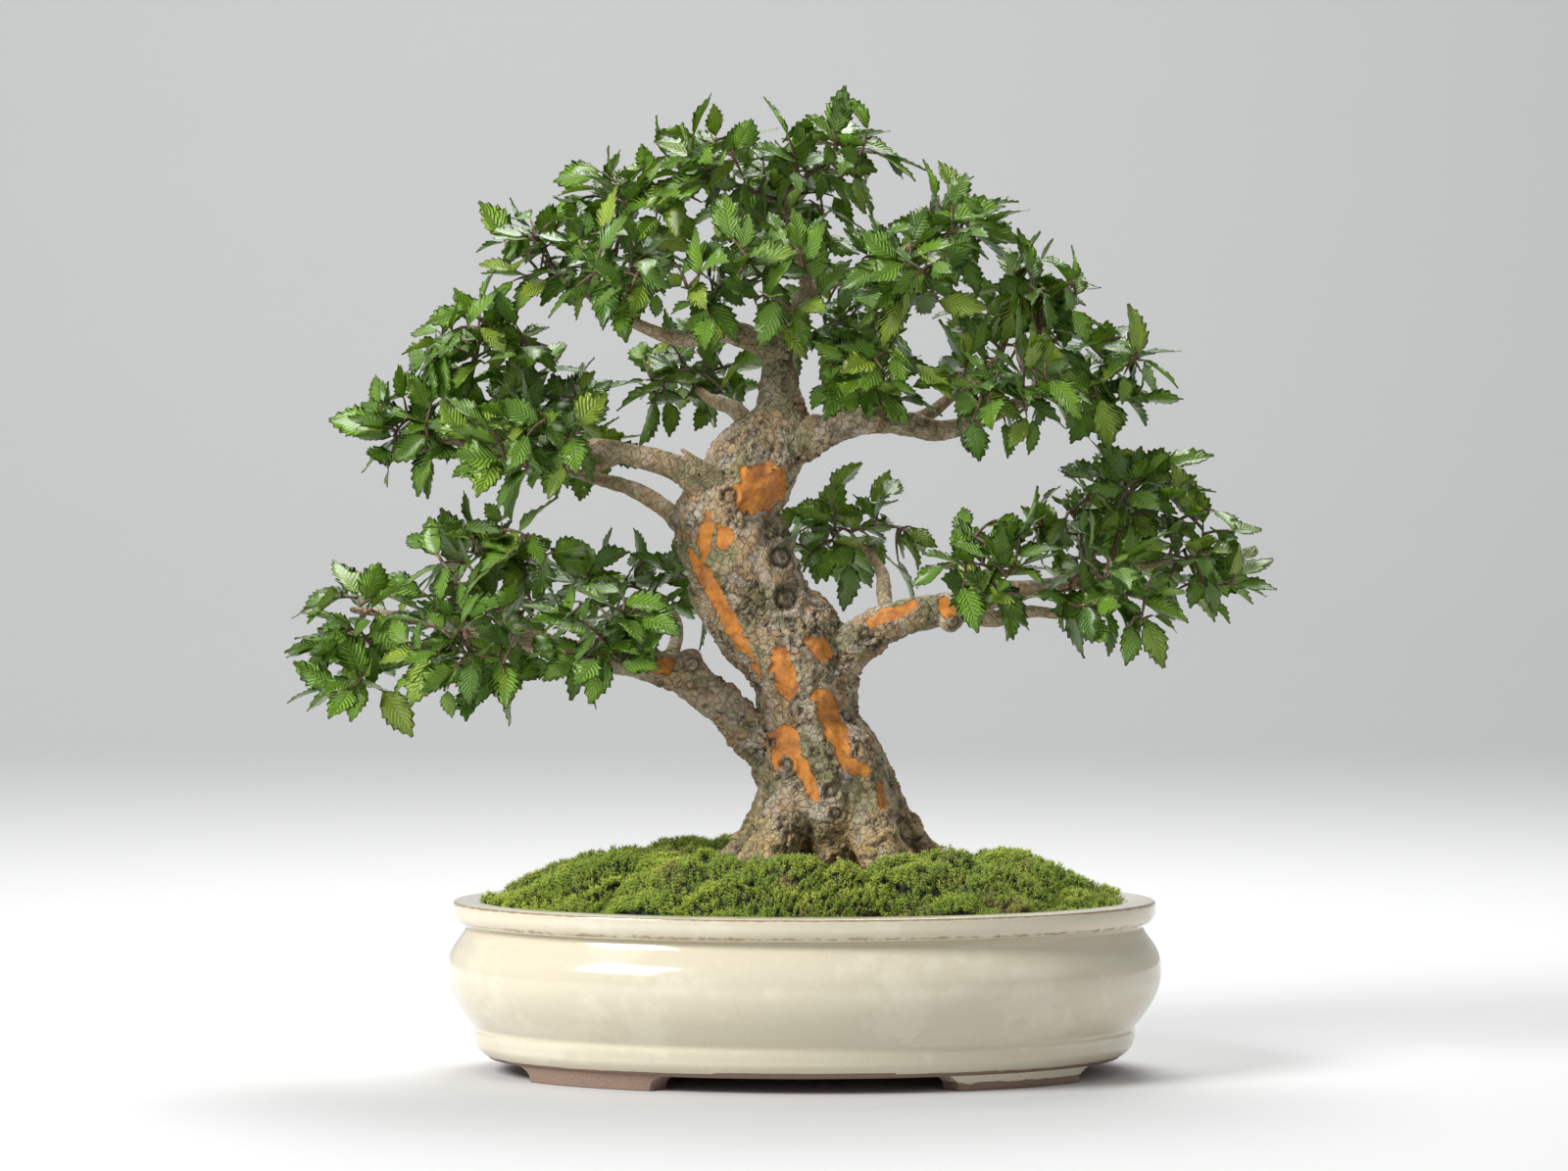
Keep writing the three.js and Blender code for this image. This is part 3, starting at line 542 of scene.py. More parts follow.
class Canvas(NodeSheet):
    """A new material's nodes, with its Principled node, the place on the object and the effects."""

    def __init__(self, name: str, effects: Effects) -> None:
        """Starts the material."""
        self.material = bpy.data.materials.new(name)
        self.material.use_nodes = True
        super().__init__(self.material.node_tree)
        self.shader = self.tree.nodes["Principled BSDF"]
        self.effects = effects
        self.place = self.add("TexCoord").outputs["Object"]

    def wire(self, **values: object) -> None:
        """Sets the shader's inputs, with underscores for the spaces in their names."""
        self.feed(self.shader, {name.replace("_", " "): value for name, value in values.items()})

    def mottle(self, size: float, share: float) -> Socket:
        """Places the shared mottle and returns its mask."""
        values = {"Place": self.place, "Size": size, "Share": share}
        return self.group(self.effects.mottle, values).outputs[0]

    def grain(self, size: float) -> bpy.types.Node:
        """Places the shared grain."""
        return self.group(self.effects.grain, {"Place": self.place, "Size": size})


# ---- Finishes ----


class Finish:
    """A material that has a name and wires its own nodes."""

    name: str

    def dress(self, sheet: Canvas, place: Socket) -> None:
        """Wires the material, which each finish does in its own way.

        Args:
            sheet: The material's nodes.
            place: The place on the object.
        """
        raise NotImplementedError

    def build(self, effects: Effects) -> Material:
        """Builds the material.

        Args:
            effects: The shared effects.

        Returns:
            The material.
        """
        sheet = Canvas(self.name, effects)
        self.dress(sheet, sheet.place)
        return sheet.material


@dataclass(frozen=True)
class Glaze(Finish):
    """Cream glaze over a brown body: it thins to brown on sharp edges and stops short of the feet."""

    name: str = "cream_glaze"
    cream: Colour = (0.76, 0.70, 0.545, 1.0)
    pooled: Colour = (0.60, 0.535, 0.37, 1.0)
    broken: Colour = (0.27, 0.155, 0.08, 1.0)
    clay: Colour = (0.36, 0.25, 0.19, 1.0)
    clay_dark: Colour = (0.22, 0.145, 0.105, 1.0)

    def dress(self, sheet: Canvas, place: Socket) -> None:
        """Wires the material; the mesh stores where the glaze is thin, pooled and missing."""
        mottle = sheet.mottle(0.035, 0.9)
        pooled = sheet.maths("MAXIMUM", sheet.attribute("pooled"), sheet.times(mottle, 0.32))
        colour = sheet.mix(pooled, self.cream, self.pooled)
        wander = sheet.noise(place, 260.0, 3.0)
        thin = sheet.plus(sheet.attribute("thin"), sheet.times(sheet.minus(wander, 0.5), 0.9))
        thin = sheet.step(thin, 0.4, 0.8)
        colour = sheet.cover(colour, self.broken, thin, 0.8)
        dots = sheet.cells(place, 95.0)
        size = sheet.times(dots.outputs["Color"], 0.075)
        speck = sheet.maths("LESS_THAN", dots.outputs["Distance"], sheet.minus(size, 0.045))
        colour = sheet.cover(colour, self.broken, speck, 0.55)
        craze = sheet.cells(place, 240.0, "DISTANCE_TO_EDGE").outputs["Distance"]
        line = sheet.inverse(sheet.step(craze, 0.0, 0.03))
        colour = sheet.cover(colour, self.broken, line, 0.10)
        grain = sheet.grain(0.0011)
        ragged = sheet.times(sheet.minus(sheet.noise(place, 120.0, 4.0), 0.5), 0.8)
        bare = sheet.step(sheet.plus(sheet.attribute("bare"), ragged), 0.47, 0.53)
        clay = sheet.mix(grain.outputs["Height"], self.clay_dark, self.clay)
        colour = sheet.mix(bare, colour, clay)
        roughness = sheet.plus(0.13, sheet.times(bare, 0.72))
        wave = sheet.noise(place, 22.0, 2.0)
        smooth = sheet.inverse(bare)
        swell = sheet.times(wave, sheet.times(smooth, 0.9))
        height = sheet.plus(swell, sheet.times(grain.outputs["Height"], sheet.times(bare, 0.5)))
        sheet.wire(Base_Color=colour, Roughness=roughness, Normal=sheet.bump(height, 0.0012))
        sheet.wire(Coat_Weight=sheet.times(smooth, 0.5), Coat_Roughness=0.05)
        sheet.wire(IOR=1.52)


@dataclass(frozen=True)
class Bark(Finish):
    """Elm bark: grey and tan flakes that fall to show orange, with cracks, lichen and painted shade."""

    name: str = "elm_bark"
    grey: Colour = (0.58, 0.53, 0.43, 1.0)
    tan: Colour = (0.42, 0.29, 0.16, 1.0)
    lichen: Colour = (0.22, 0.22, 0.10, 1.0)
    brown: Colour = (0.11, 0.062, 0.03, 1.0)
    root: Colour = (0.60, 0.43, 0.17, 1.0)
    orange: Colour = (0.62, 0.215, 0.018, 1.0)
    rust: Colour = (0.35, 0.098, 0.012, 1.0)
    # The crack colour also paints the shade in the bark's hollows and the shadow round its peeled
    # patches.
    crack: Colour = (0.05, 0.036, 0.025, 1.0)

    def dress(self, sheet: Canvas, place: Socket) -> None:
        """Wires the material; the mesh stores where the bark has peeled and aged, where it cracks and
        where shade is painted into its hollows.
        """
        mottle = sheet.mottle(0.012, 0.95)
        lichen = sheet.mottle(0.02, 0.62)
        fine = sheet.noise(place, 520.0, 6.0, 0.4)
        flake = sheet.step(sheet.attribute("flake"), -0.5, 0.9)
        colour = sheet.mix(flake, self.grey, self.tan)
        colour = sheet.cover(colour, self.tan, mottle, 0.5)
        colour = sheet.cover(colour, self.lichen, lichen, 0.75)
        dark = sheet.step(sheet.noise(place, 150.0, 5.0), 0.52, 0.68)
        colour = sheet.cover(colour, self.brown, dark, 0.7)
        up = sheet.add("SeparateXYZ", {0: place}).outputs[2]
        low = sheet.inverse(sheet.step(up, 0.098, 0.135))
        streaks = sheet.step(sheet.noise(place, 160.0, 4.0, 1.2), 0.4, 0.62)
        colour = sheet.cover(colour, self.root, sheet.times(low, streaks), 0.75)
        young = sheet.attribute("young")
        colour = sheet.cover(colour, self.tan, young, 0.45)
        ragged = sheet.times(sheet.minus(sheet.noise(place, 330.0, 4.0), 0.5), 1.1)
        peel = sheet.step(sheet.plus(sheet.attribute("peel"), ragged), 0.42, 0.6)
        worn = sheet.step(sheet.noise(place, 110.0, 4.0, 0.8), 0.3, 0.6)
        under = sheet.mix(worn, self.rust, self.orange)
        colour = sheet.cover(colour, under, peel, 0.88)
        kept = sheet.inverse(peel)
        flecks = sheet.cells(place, 420.0).outputs["Distance"]
        flecks = sheet.times(kept, sheet.inverse(sheet.step(flecks, 0.08, 0.22)))
        colour = sheet.cover(colour, self.crack, flecks, 0.6)
        # Painted shadow: a dark line round each peeled patch, where the curled bark edge stands over
        # the sunk wood, with the bark's own dark broken edge.
        rim = sheet.times(sheet.times(peel, kept), 3.4)
        colour = sheet.mix(rim, colour, self.crack)
        # Real dark cracks, with painted shade in the bark's hollows, in the crack colour.
        broken = sheet.step(sheet.noise(place, 190.0, 3.0), 0.22, 0.5)
        crack_and_hollow_shade = sheet.times(sheet.attribute("crack_and_hollow_shade"), broken)
        colour = sheet.cover(colour, self.crack, crack_and_hollow_shade, 0.85)
        shade = sheet.plus(0.62, sheet.times(fine, 0.76))
        colour = sheet.mix(1.0, colour, shade, "MULTIPLY")
        plates = sheet.cells(place, 260.0, "DISTANCE_TO_EDGE").outputs["Distance"]
        edges = sheet.times(sheet.step(plates, 0.0, 0.12), 0.4)
        height = sheet.plus(sheet.times(fine, 0.55), edges)
        height = sheet.times(height, sheet.plus(0.12, sheet.times(kept, 0.88)))
        sheet.wire(Base_Color=colour, Normal=sheet.bump(height, 0.0016), IOR=1.45)
        sheet.wire(Roughness=sheet.minus(0.82, sheet.times(peel, 0.12)))


@dataclass(frozen=True)
class Twig(Finish):
    """Thin young wood: reddish brown and a little glossy."""

    name: str = "young_twig"
    red: Colour = (0.13, 0.075, 0.045, 1.0)
    pale: Colour = (0.31, 0.235, 0.155, 1.0)

    def dress(self, sheet: Canvas, place: Socket) -> None:
        """Wires the material, with the pale specks of young bark."""
        specks = sheet.step(sheet.noise(place, 900.0, 3.0), 0.52, 0.66)
        colour = sheet.mix(specks, self.red, self.pale)
        sheet.wire(Base_Color=colour, Roughness=0.6)
        sheet.wire(Normal=sheet.bump(sheet.noise(place, 1400.0, 3.0), 0.0002))


@dataclass(frozen=True)
class LeafBlade(Finish):
    """Elm leaf: glossy on its upper face, veined, and bright where light comes through it."""

    name: str = "elm_leaf"
    deep: Colour = (0.09, 0.24, 0.018, 1.0)
    green: Colour = (0.26, 0.50, 0.028, 1.0)
    young: Colour = (0.52, 0.68, 0.06, 1.0)
    vein: Colour = (0.36, 0.50, 0.16, 1.0)
    # Pale blue-green of the painted sheen that stands in for the leaves' glossy highlights.
    painted_sheen: Colour = (0.30, 0.47, 0.22, 1.0)
    veins: float = 9.0
    slant: float = 0.323

    def dress(self, sheet: Canvas, place: Socket) -> None:
        """Wires the material; each leaf stores its tint and its place along and across the blade."""
        tint = sheet.attribute("tint")
        colour = sheet.mix(sheet.step(tint, 0.0, 0.62), self.deep, self.green)
        colour = sheet.mix(sheet.step(tint, 0.66, 1.0), colour, self.young)
        cloud = sheet.noise(place, 150.0, 3.0)
        colour = sheet.cover(colour, self.green, cloud, 0.35)
        # Painted sheen: pale blue-green patches over the leaves stand in for the glossy highlights of
        # the lamps.
        painted_sheen = sheet.step(sheet.noise(place, 42.0, 2.0), 0.5, 0.72)
        colour = sheet.cover(colour, self.painted_sheen, painted_sheen, 0.25)
        across = sheet.maths("ABSOLUTE", sheet.attribute("across"))
        along = sheet.attribute("along")
        slanted = sheet.minus(along, sheet.times(across, self.slant))
        wave = sheet.maths("PINGPONG", sheet.times(slanted, self.veins), 0.5)
        side_vein = sheet.inverse(sheet.step(wave, 0.0, 0.13))
        midrib = sheet.inverse(sheet.step(across, 0.02, 0.09))
        veins = sheet.maths("MAXIMUM", midrib, sheet.times(side_vein, 0.5))
        colour = sheet.cover(colour, self.vein, veins, 0.5)
        height = sheet.inverse(veins)
        swell = sheet.times(sheet.step(wave, 0.0, 0.5), 0.9)
        normal = sheet.bump(sheet.plus(height, swell), 0.0007, 0.9)
        sheet.wire(Base_Color=colour, Normal=normal, IOR=1.5)
        sheet.wire(Roughness=sheet.plus(0.3, sheet.times(cloud, 0.16)))
        sheet.wire(Coat_Weight=0.9, Coat_Roughness=0.3)
        glow = sheet.mix(0.6, colour, self.young)
        through = sheet.add("BsdfTranslucent", {"Color": glow})
        share = sheet.add("MixShader", {0: 0.3, 1: sheet.shader.outputs[0], 2: through.outputs[0]})
        output = sheet.tree.nodes["Material Output"]
        sheet.tree.links.new(share.outputs[0], output.inputs["Surface"])


@dataclass(frozen=True)
class Moss(Finish):
    """Cushion moss: painted shade between its stems and bright yellow-green at its tips."""

    name: str = "cushion_moss"
    # Near black, painted as the shade low among the stems.
    deep: Colour = (0.010, 0.024, 0.002, 1.0)
    green: Colour = (0.145, 0.285, 0.005, 1.0)
    tip: Colour = (0.80, 0.84, 0.08, 1.0)
    dry: Colour = (0.26, 0.17, 0.06, 1.0)

    def dress(self, sheet: Canvas, place: Socket) -> None:
        """Wires the material; each stem stores its height and its tint."""
        height = sheet.attribute("height")
        tint = sheet.attribute("tint")
        patch = sheet.mottle(0.022, 0.9)
        bright = sheet.mix(sheet.times(tint, 0.9), self.green, self.tip)
        bright = sheet.mix(sheet.times(patch, 0.5), bright, self.green)
        # Painted shade: low on each stem the colour runs to near black, in place of the shade deep in
        # the moss.
        colour = sheet.mix(sheet.step(height, 0.2, 0.85), self.deep, bright)
        dry = sheet.mottle(0.03, 0.42)
        colour = sheet.cover(colour, self.dry, dry, 0.6)
        sheet.wire(Base_Color=colour, Roughness=0.72, Sheen_Weight=0.15)


@dataclass(frozen=True)
class Grains(Finish):
    """Loose baked-clay soil: dull grains of mixed browns."""

    name: str
    dark: Colour
    light: Colour
    size: float = 0.003

    def dress(self, sheet: Canvas, place: Socket) -> None:
        """Wires the material, with a colour for each grain."""
        cells = sheet.cells(place, 1.0 / self.size)
        grain = sheet.grain(self.size / 3)
        colour = sheet.mix(cells.outputs["Color"], self.dark, self.light)
        colour = sheet.mix(grain.outputs["Pits"], self.dark, colour)
        edge = sheet.inverse(cells.outputs["Distance"])
        height = sheet.plus(edge, sheet.times(grain.outputs["Height"], 0.3))
        sheet.wire(Base_Color=colour, Roughness=0.92)
        sheet.wire(Normal=sheet.bump(height, self.size * 0.5))


@dataclass(frozen=True)
class Fitting(Finish):
    """A plain fitting out of sight: the plastic mesh, or the wire that holds it."""

    name: str
    colour: Colour
    roughness: float
    metallic: float
    soil: Colour = (0.12, 0.08, 0.05, 1.0)

    def dress(self, sheet: Canvas, place: Socket) -> None:
        """Wires the material, with fine scratches and a little soil on it."""
        soiled = sheet.mottle(0.006, 0.6)
        colour = sheet.mix(sheet.times(soiled, 0.4), self.colour, self.soil)
        rough = sheet.plus(self.roughness, sheet.times(soiled, 0.25))
        sheet.wire(Base_Color=colour, Roughness=rough, Metallic=self.metallic)
        sheet.wire(Normal=sheet.bump(sheet.noise(place, 2500.0, 2.0), 0.00005))


@dataclass(frozen=True)
class Paper(Finish):
    """Plain pale paper."""

    name: str = "pale_paper"
    colour: Colour = (0.66, 0.66, 0.655, 1.0)

    def dress(self, sheet: Canvas, place: Socket) -> None:
        """Wires the material."""
        sheet.wire(Base_Color=self.colour, Roughness=0.75)


# ---- Pot, soil and moss ----


@dataclass
class Pot:
    """The oval pot: belly, base moulding, lipped rim and four bracket feet, fired as one piece."""

    belly: float = 160.2
    neck: float = 151.9
    lip: float = 157.6
    shoulder: float = 149.2
    base: float = 142.4
    oval_difference: float = 42.6
    oval_from: float = 140.0
    underside: float = 6.6
    moulding: float = 21.5
    belly_height: float = 45.0
    neck_height: float = 66.3
    rim_height: float = 76.8
    rim_inner: float = 145.1
    wall: float = 9.5
    floor: float = 16.1
    around: int = 240
    drain_offset: float = 62.0
    drain_radius: float = 11.0
    foot_thickness: float = 15.0

    def oval(self, half_width: Array, angle: Array) -> Array:
        """Places points on the pot's ovals.

        Args:
            half_width: Half-width of the oval that each point is on.
            angle: Angle of each point round the oval, in radians.

        Returns:
            The points' x and y, one row each.
        """
        depth = half_width - self.oval_difference * np.minimum(1.0, half_width / self.oval_from)
        return np.stack([half_width * np.cos(angle), depth * np.sin(angle)], axis=-1)

    def inside_half_width(self, height: float) -> float:
        """Gives the half-width of the inside at a height.

        Args:
            height: Height over the feet.

        Returns:
            The half-width there.
        """
        share = min(max((height - self.floor) / (self.belly_height - 16), 0.0), 1.0)
        widest, narrowest = self.belly - self.wall, self.shoulder - self.wall - 3
        lower = narrowest + (widest - narrowest) * math.sin(share * math.pi / 2)
        above = (height - self.belly_height) / (self.neck_height - self.belly_height)
        above = min(max(above, 0.0), 1.0)
        return lower + (self.rim_inner - 1.5 - widest) * above * above

    def profile(self) -> Array:
        """Draws the section from the middle of the underside to the middle of the inner floor.

        Returns:
            Rows of half-width, height, and how thin, pooled and bare the glaze is there.
        """
        rows: list[tuple[float, float, float, float, float]] = []
        for share in np.linspace(0.0, 1.0, 7):
            rows.append((share * (self.base - 3), self.underside, 0, 0, 1))
        rows.append((self.base - 0.9, self.underside + 0.1, 0, 0, 1))
        rows.append((self.base, self.underside + 0.9, 0.3, 0, 0.95))
        for share in np.linspace(0.12, 1.0, 9):
            half = self.base + (148.0 - self.base) * math.sin(share * math.pi / 2) ** 0.8
            height = self.underside + 0.9 + 6.6 * share
            rows.append((half, height, 0.15 * (share > 0.8), 0, 0.55 * (share < 0.2)))
        rows += [(148.4, 15.5, 0.05, 0, 0), (148.7, 17.6, 0.1, 0, 0), (148.7, 18.7, 0.1, 0.1, 0)]
        rows += [(148.4, 19.4, 0, 0.35, 0), (148.4, 20.1, 0, 0.4, 0), (148.6, 20.8, 0.05, 0.2, 0)]
        rows.append((self.shoulder, self.moulding, 0.1, 0, 0))
        for share in np.linspace(0.08, 1.0, 16):
            half = self.shoulder + (self.belly - self.shoulder) * math.sin(share * math.pi / 2) ** 0.93
            height = self.moulding + (self.belly_height - self.moulding) * share
            rows.append((half, height, 0.12 * (share < 0.1), 0, 0))
        for share in np.linspace(0.06, 1.0, 16):
            half = self.neck + (self.belly - self.neck) * (0.5 + 0.5 * math.cos(math.pi * share**1.5))
            height = self.belly_height + (self.neck_height - self.belly_height) * share
            rows.append((half, height, 0, max(0.0, 4 * (share - 0.75)), 0))
        for angle in np.radians(np.linspace(-80, 0, 9)):
            half = self.neck + (self.lip - self.neck) * math.cos(angle)
            low = 1.0 - min(1.0, abs(math.degrees(angle) + 48) / 30)
            rows.append((half, 72.5 + 6.2 * math.sin(angle), 0.7 * low, 0.4 * (angle < -1.2), 0))
        for angle in np.radians(np.linspace(0, 90, 7)):
            half = self.lip - 1.6 + 1.6 * math.cos(angle)
            sharp = math.sin(2 * angle)
            rows.append((half, self.rim_height - 1.6 + 1.6 * math.sin(angle), 0.95 * sharp, 0, 0))
        for share in np.linspace(0.1, 0.9, 7):
            half = self.lip - 1.6 + (self.rim_inner + 1.2 - self.lip + 1.6) * share
            rows.append((half, self.rim_height + 0.5 * math.sin(math.pi * share), 0.1, 0, 0))
        for angle in np.radians(np.linspace(0, 90, 5)):
            half = self.rim_inner + 1.2 - 1.2 * math.sin(angle)
            rows.append((half, self.rim_height - 1.2 + 1.2 * math.cos(angle), 0.5, 0, 0))
        for height in np.linspace(74, 20, 14):
            rows.append((self.inside_half_width(height), height, 0, 0, 1.0 * (height < 66)))
        rows.append((self.inside_half_width(self.floor) - 1, self.floor + 1, 0, 0, 1))
        for share in np.linspace(0.97, 0.0, 7):
            rows.append((share * (self.inside_half_width(self.floor) - 3), self.floor, 0, 0, 1))
        return np.array(rows, float)

    def build_body(self, layout: Layout) -> Object:
        """Builds the bowl with its drain holes cut.

        Args:
            layout: Places it in the frame.

        Returns:
            The bowl.
        """
        profile = self.profile()

        def surface(around: Array, along: Array) -> Array:
            """Turns the section round the oval."""
            row = np.rint(along * (len(profile) - 1)).astype(int)
            flat = self.oval(profile[row, 0], around * 2 * math.pi)
            hand = 1.0 + 0.0016 * np.sin(3 * around * 2 * math.pi + 0.7) * (profile[row, 1] > 30)
            return layout.metres(np.column_stack([flat * hand[:, None], profile[row, 1]]))

        piece = wrapped_grid("bonsai_pot", self.around, len(profile) - 1, surface)
        local = (vertex_places(piece) - layout.origin) / MM
        depth_share = (self.belly - self.oval_difference) / self.belly
        half = np.hypot(local[:, 0], local[:, 1] / depth_share)
        nearest = np.empty(len(local), int)
        for start in range(0, len(local), 4000):
            rows = slice(start, start + 4000)
            apart = np.abs(local[rows, 2:3] - profile[None, :, 1])
            apart += 0.5 * np.abs(half[rows, None] - profile[None, :, 0])
            nearest[rows] = apart.argmin(axis=1)
        for column, name in ((2, "thin"), (3, "pooled"), (4, "bare")):
            set_attribute(piece.data, name, profile[nearest, column])
        for side in (-1, 1):
            self.cut_drain(piece, layout, side)
        return piece

    def cut_drain(self, piece: Object, layout: Layout, side: int) -> None:
        """Cuts one drain hole through the floor.

        Args:
            piece: The bowl.
            layout: Places it in the frame.
            side: -1 for the left, 1 for the right.
        """
        deselect_all()
        centre = layout.metres(np.array([side * self.drain_offset, 0.0, self.underside + 3]))
        bpy.ops.mesh.primitive_cylinder_add(
            vertices=48, radius=self.drain_radius * MM, depth=40 * MM, location=centre
        )
        cutter = bpy.context.object
        apply_modifier(piece, "BOOLEAN", operation="DIFFERENCE", solver="EXACT", object=cutter)
        bpy.data.objects.remove(cutter)

    def build_foot(self, layout: Layout, side: int, front: int) -> Object:
        """Builds one bracket foot: a block bent along the oval, with hollowed ends.

        Args:
            layout: Places the foot.
            side: -1 for a left foot, 1 for a right one.
            front: -1 for a front foot, 1 for a back one.

        Returns:
            The foot, with its glaze line stored on it.
        """
        deselect_all()
        bpy.ops.mesh.primitive_cube_add(size=1.0)
        foot = bpy.context.object
        bpy.ops.object.mode_set(mode="EDIT")
        bpy.ops.mesh.subdivide(number_cuts=13)
        bpy.ops.object.mode_set(mode="OBJECT")
        share = vertex_places(foot) + 0.5
        height = share[:, 2] * (self.underside + 1.2)
        flare = share[:, 2] ** 3
        outer = self.base - 1.6 + share[:, 2] * 0.9
        start = np.arccos((121 + 8 * flare) / outer)
        end = np.arccos((67 - 7 * flare) / outer)
        angle = start + (end - start) * share[:, 0]
        flat = self.oval(outer - self.foot_thickness * share[:, 1], angle)
        places = np.column_stack([side * flat[:, 0], front * flat[:, 1], height])
        set_vertex_places(foot, layout.metres(places))
        bpy.ops.object.mode_set(mode="EDIT")
        bpy.ops.mesh.select_all(action="SELECT")
        bpy.ops.mesh.normals_make_consistent(inside=False)
        bpy.ops.object.mode_set(mode="OBJECT")
        apply_modifier(foot, "BEVEL", width=0.7 * MM, segments=2, limit_method="ANGLE", angle_limit=0.7)
        bpy.ops.object.shade_smooth()
        local = (vertex_places(foot) - layout.origin) / MM
        glaze_line = 0.5 + (3.6 - local[:, 2]) / 5 if side > 0 else np.ones(len(local))
        set_attribute(foot.data, "bare", glaze_line)
        set_attribute(foot.data, "thin", np.full(len(local), 0.3))
        return foot

    def build(self, layout: Layout, effects: Effects) -> None:
        """Builds the whole pot and hands it to the frame.

        Args:
            layout: Places it in the frame.
            effects: The shared effects.
        """
        body = self.build_body(layout)
        feet = [self.build_foot(layout, side, front) for side in (-1, 1) for front in (-1, 1)]
        join_into(body, *feet)
        finish_piece(body, [Glaze().build(effects)], "glaze", "pot")


@dataclass
class Ground:
    """The mound of soil that the moss, the roots and the grains follow."""

    crown: float = 88.5
    edge: float = 69.0
    level: float = 0.6
    dip: float = 7.0
    dip_reach: tuple[float, float] = (30.0, 66.0)
    reach: tuple[float, float] = (142.0, 99.6)

    def height(self, x: Array, y: Array) -> Array:
        """Gives the height of the soil at each place."""
        away = np.hypot(x / self.reach[0], y / self.reach[1])
        mound = self.crown + (self.edge - self.crown) * smoothstep(self.level, 1.0, away)
        return mound - self.dip * (1 - smoothstep(*self.dip_reach, np.hypot(x - 11, 1.25 * (y + 6))))

    def shell(
        self,
        name: str,
        layout: Layout,
        top: Field,
        bottom: Field,
        outline: tuple[float, float, float, float],
        cells: tuple[int, int],
    ) -> Object:
        """Builds a closed disc between two height fields.

        Args:
            name: Name of the new object.
            layout: Places the disc.
            top: Height of its upper face at x and y.
            bottom: Height of its lower face at x and y.
            outline: Middle x and y, half-width and half-depth of its oval outline.
            cells: Cells round the disc and across it.

        Returns:
            The disc.
        """
        middle_x, middle_y, half_width, half_depth = outline

        def surface(around: Array, along: Array) -> Array:
            """Runs out over the top and back under the bottom."""
            out = np.clip(np.minimum(along / 0.8, (1 - along) / 0.2), 0, 1)
            angle = around * 2 * math.pi
            x = middle_x + half_width * out * np.cos(angle)
            y = middle_y + half_depth * out * np.sin(angle)
            z = np.where(along <= 0.8, top(x, y), bottom(x, y))
            return layout.metres(np.column_stack([x, y, z]))

        return wrapped_grid(name, cells[0], cells[1], surface)


@dataclass
class Soil:
    """Granular soil: a rough bed with loose grains on it."""

    ground: Ground
    grains: int = 2600
    grain_size: tuple[float, float] = (0.7, 1.9)
    underside: float = 28.4
    seed: int = 11

    def bed(self, layout: Layout) -> Object:
        """Builds the rough bed.

        Args:
            layout: Places it in the frame.

        Returns:
            The bed.
        """

        def top(x: Array, y: Array) -> Array:
            """Roughens the mound a little."""
            flat = np.column_stack([x, y, np.zeros_like(x)])
            return self.ground.height(x, y) - 0.6 + 0.7 * fractal(flat, 7.0)

        def bottom(x: Array, y: Array) -> Array:
            """Gives the flat underside, on the drainage layer."""
            return np.full_like(x, self.underside)

        outline = (0.0, 0.0, *self.ground.reach)
        return self.ground.shell("soil_bed", layout, top, bottom, outline, (160, 90))

    def build(self, layout: Layout, effects: Effects) -> None:
        """Builds the soil and hands it to the frame.

        Args:
            layout: Places it in the frame.
            effects: The shared effects.
        """
        rng = np.random.default_rng(self.seed)
        bed = self.bed(layout)
        prototype = self.grain()
        angle = rng.uniform(0, 2 * math.pi, self.grains)
        out = np.sqrt(rng.uniform(0, 1, self.grains)) * 0.985
        x = self.ground.reach[0] * out * np.cos(angle)
        y = self.ground.reach[1] * out * np.sin(angle)
        size = rng.uniform(*self.grain_size, self.grains)
        moves = np.column_stack([x, y, self.ground.height(x, y) + 0.2 * size - 0.3])
        turns = random_turns(rng, self.grains) * size[:, None, None]
        stamped = Stamped()
        stamped.add_copies(prototype, turns, moves, {}, {})
        join_into(bed, stamped.piece("loose_grains", layout))
        bed.name = "granular_soil"
        material = Grains("soil_grains", (0.02, 0.012, 0.007, 1.0), (0.13, 0.075, 0.04, 1.0), 0.0026)
        finish_piece(bed, [material.build(effects)], "soil", "soil")

    @staticmethod
    def grain() -> tuple[Array, Array]:
        """Models one rough grain of unit size.

        Returns:
            Its vertices and its faces.
        """
        deselect_all()
        bpy.ops.mesh.primitive_ico_sphere_add(subdivisions=1, radius=1.0)
        model = bpy.context.object
        places = vertex_places(model)
        places = places * (1 + 0.3 * fractal(places, 0.9, 2))[:, None] * np.array([1.0, 0.85, 0.7])
        faces = np.array([tuple(face.vertices) for face in model.data.polygons])
        bpy.data.objects.remove(model)
        return places, faces


def random_turns(rng: Generator, count: int) -> Array:
    """Draws rotation matrices that point every way."""
    ups = unit(rng.normal(size=(count, 3)))
    return turns_to(ups, rng.uniform(0, 2 * math.pi, count))


def turns_to(ups: Array, spins: Array) -> Array:
    """Builds rotations that stand things up along given directions.

    Args:
        ups: Where each copy's own z goes, one unit row each.
        spins: How far each copy is turned about it, in radians.

    Returns:
        A three by three matrix for each.
    """
    helper = np.where(np.abs(ups[:, 2:3]) > 0.9, [[1.0, 0.0, 0.0]], [[0.0, 0.0, 1.0]])
    side = unit(np.cross(helper, ups))
    front = np.cross(ups, side)
    cos, sin = np.cos(spins)[:, None], np.sin(spins)[:, None]
    return np.stack([side * cos + front * sin, front * cos - side * sin, ups], axis=-1)


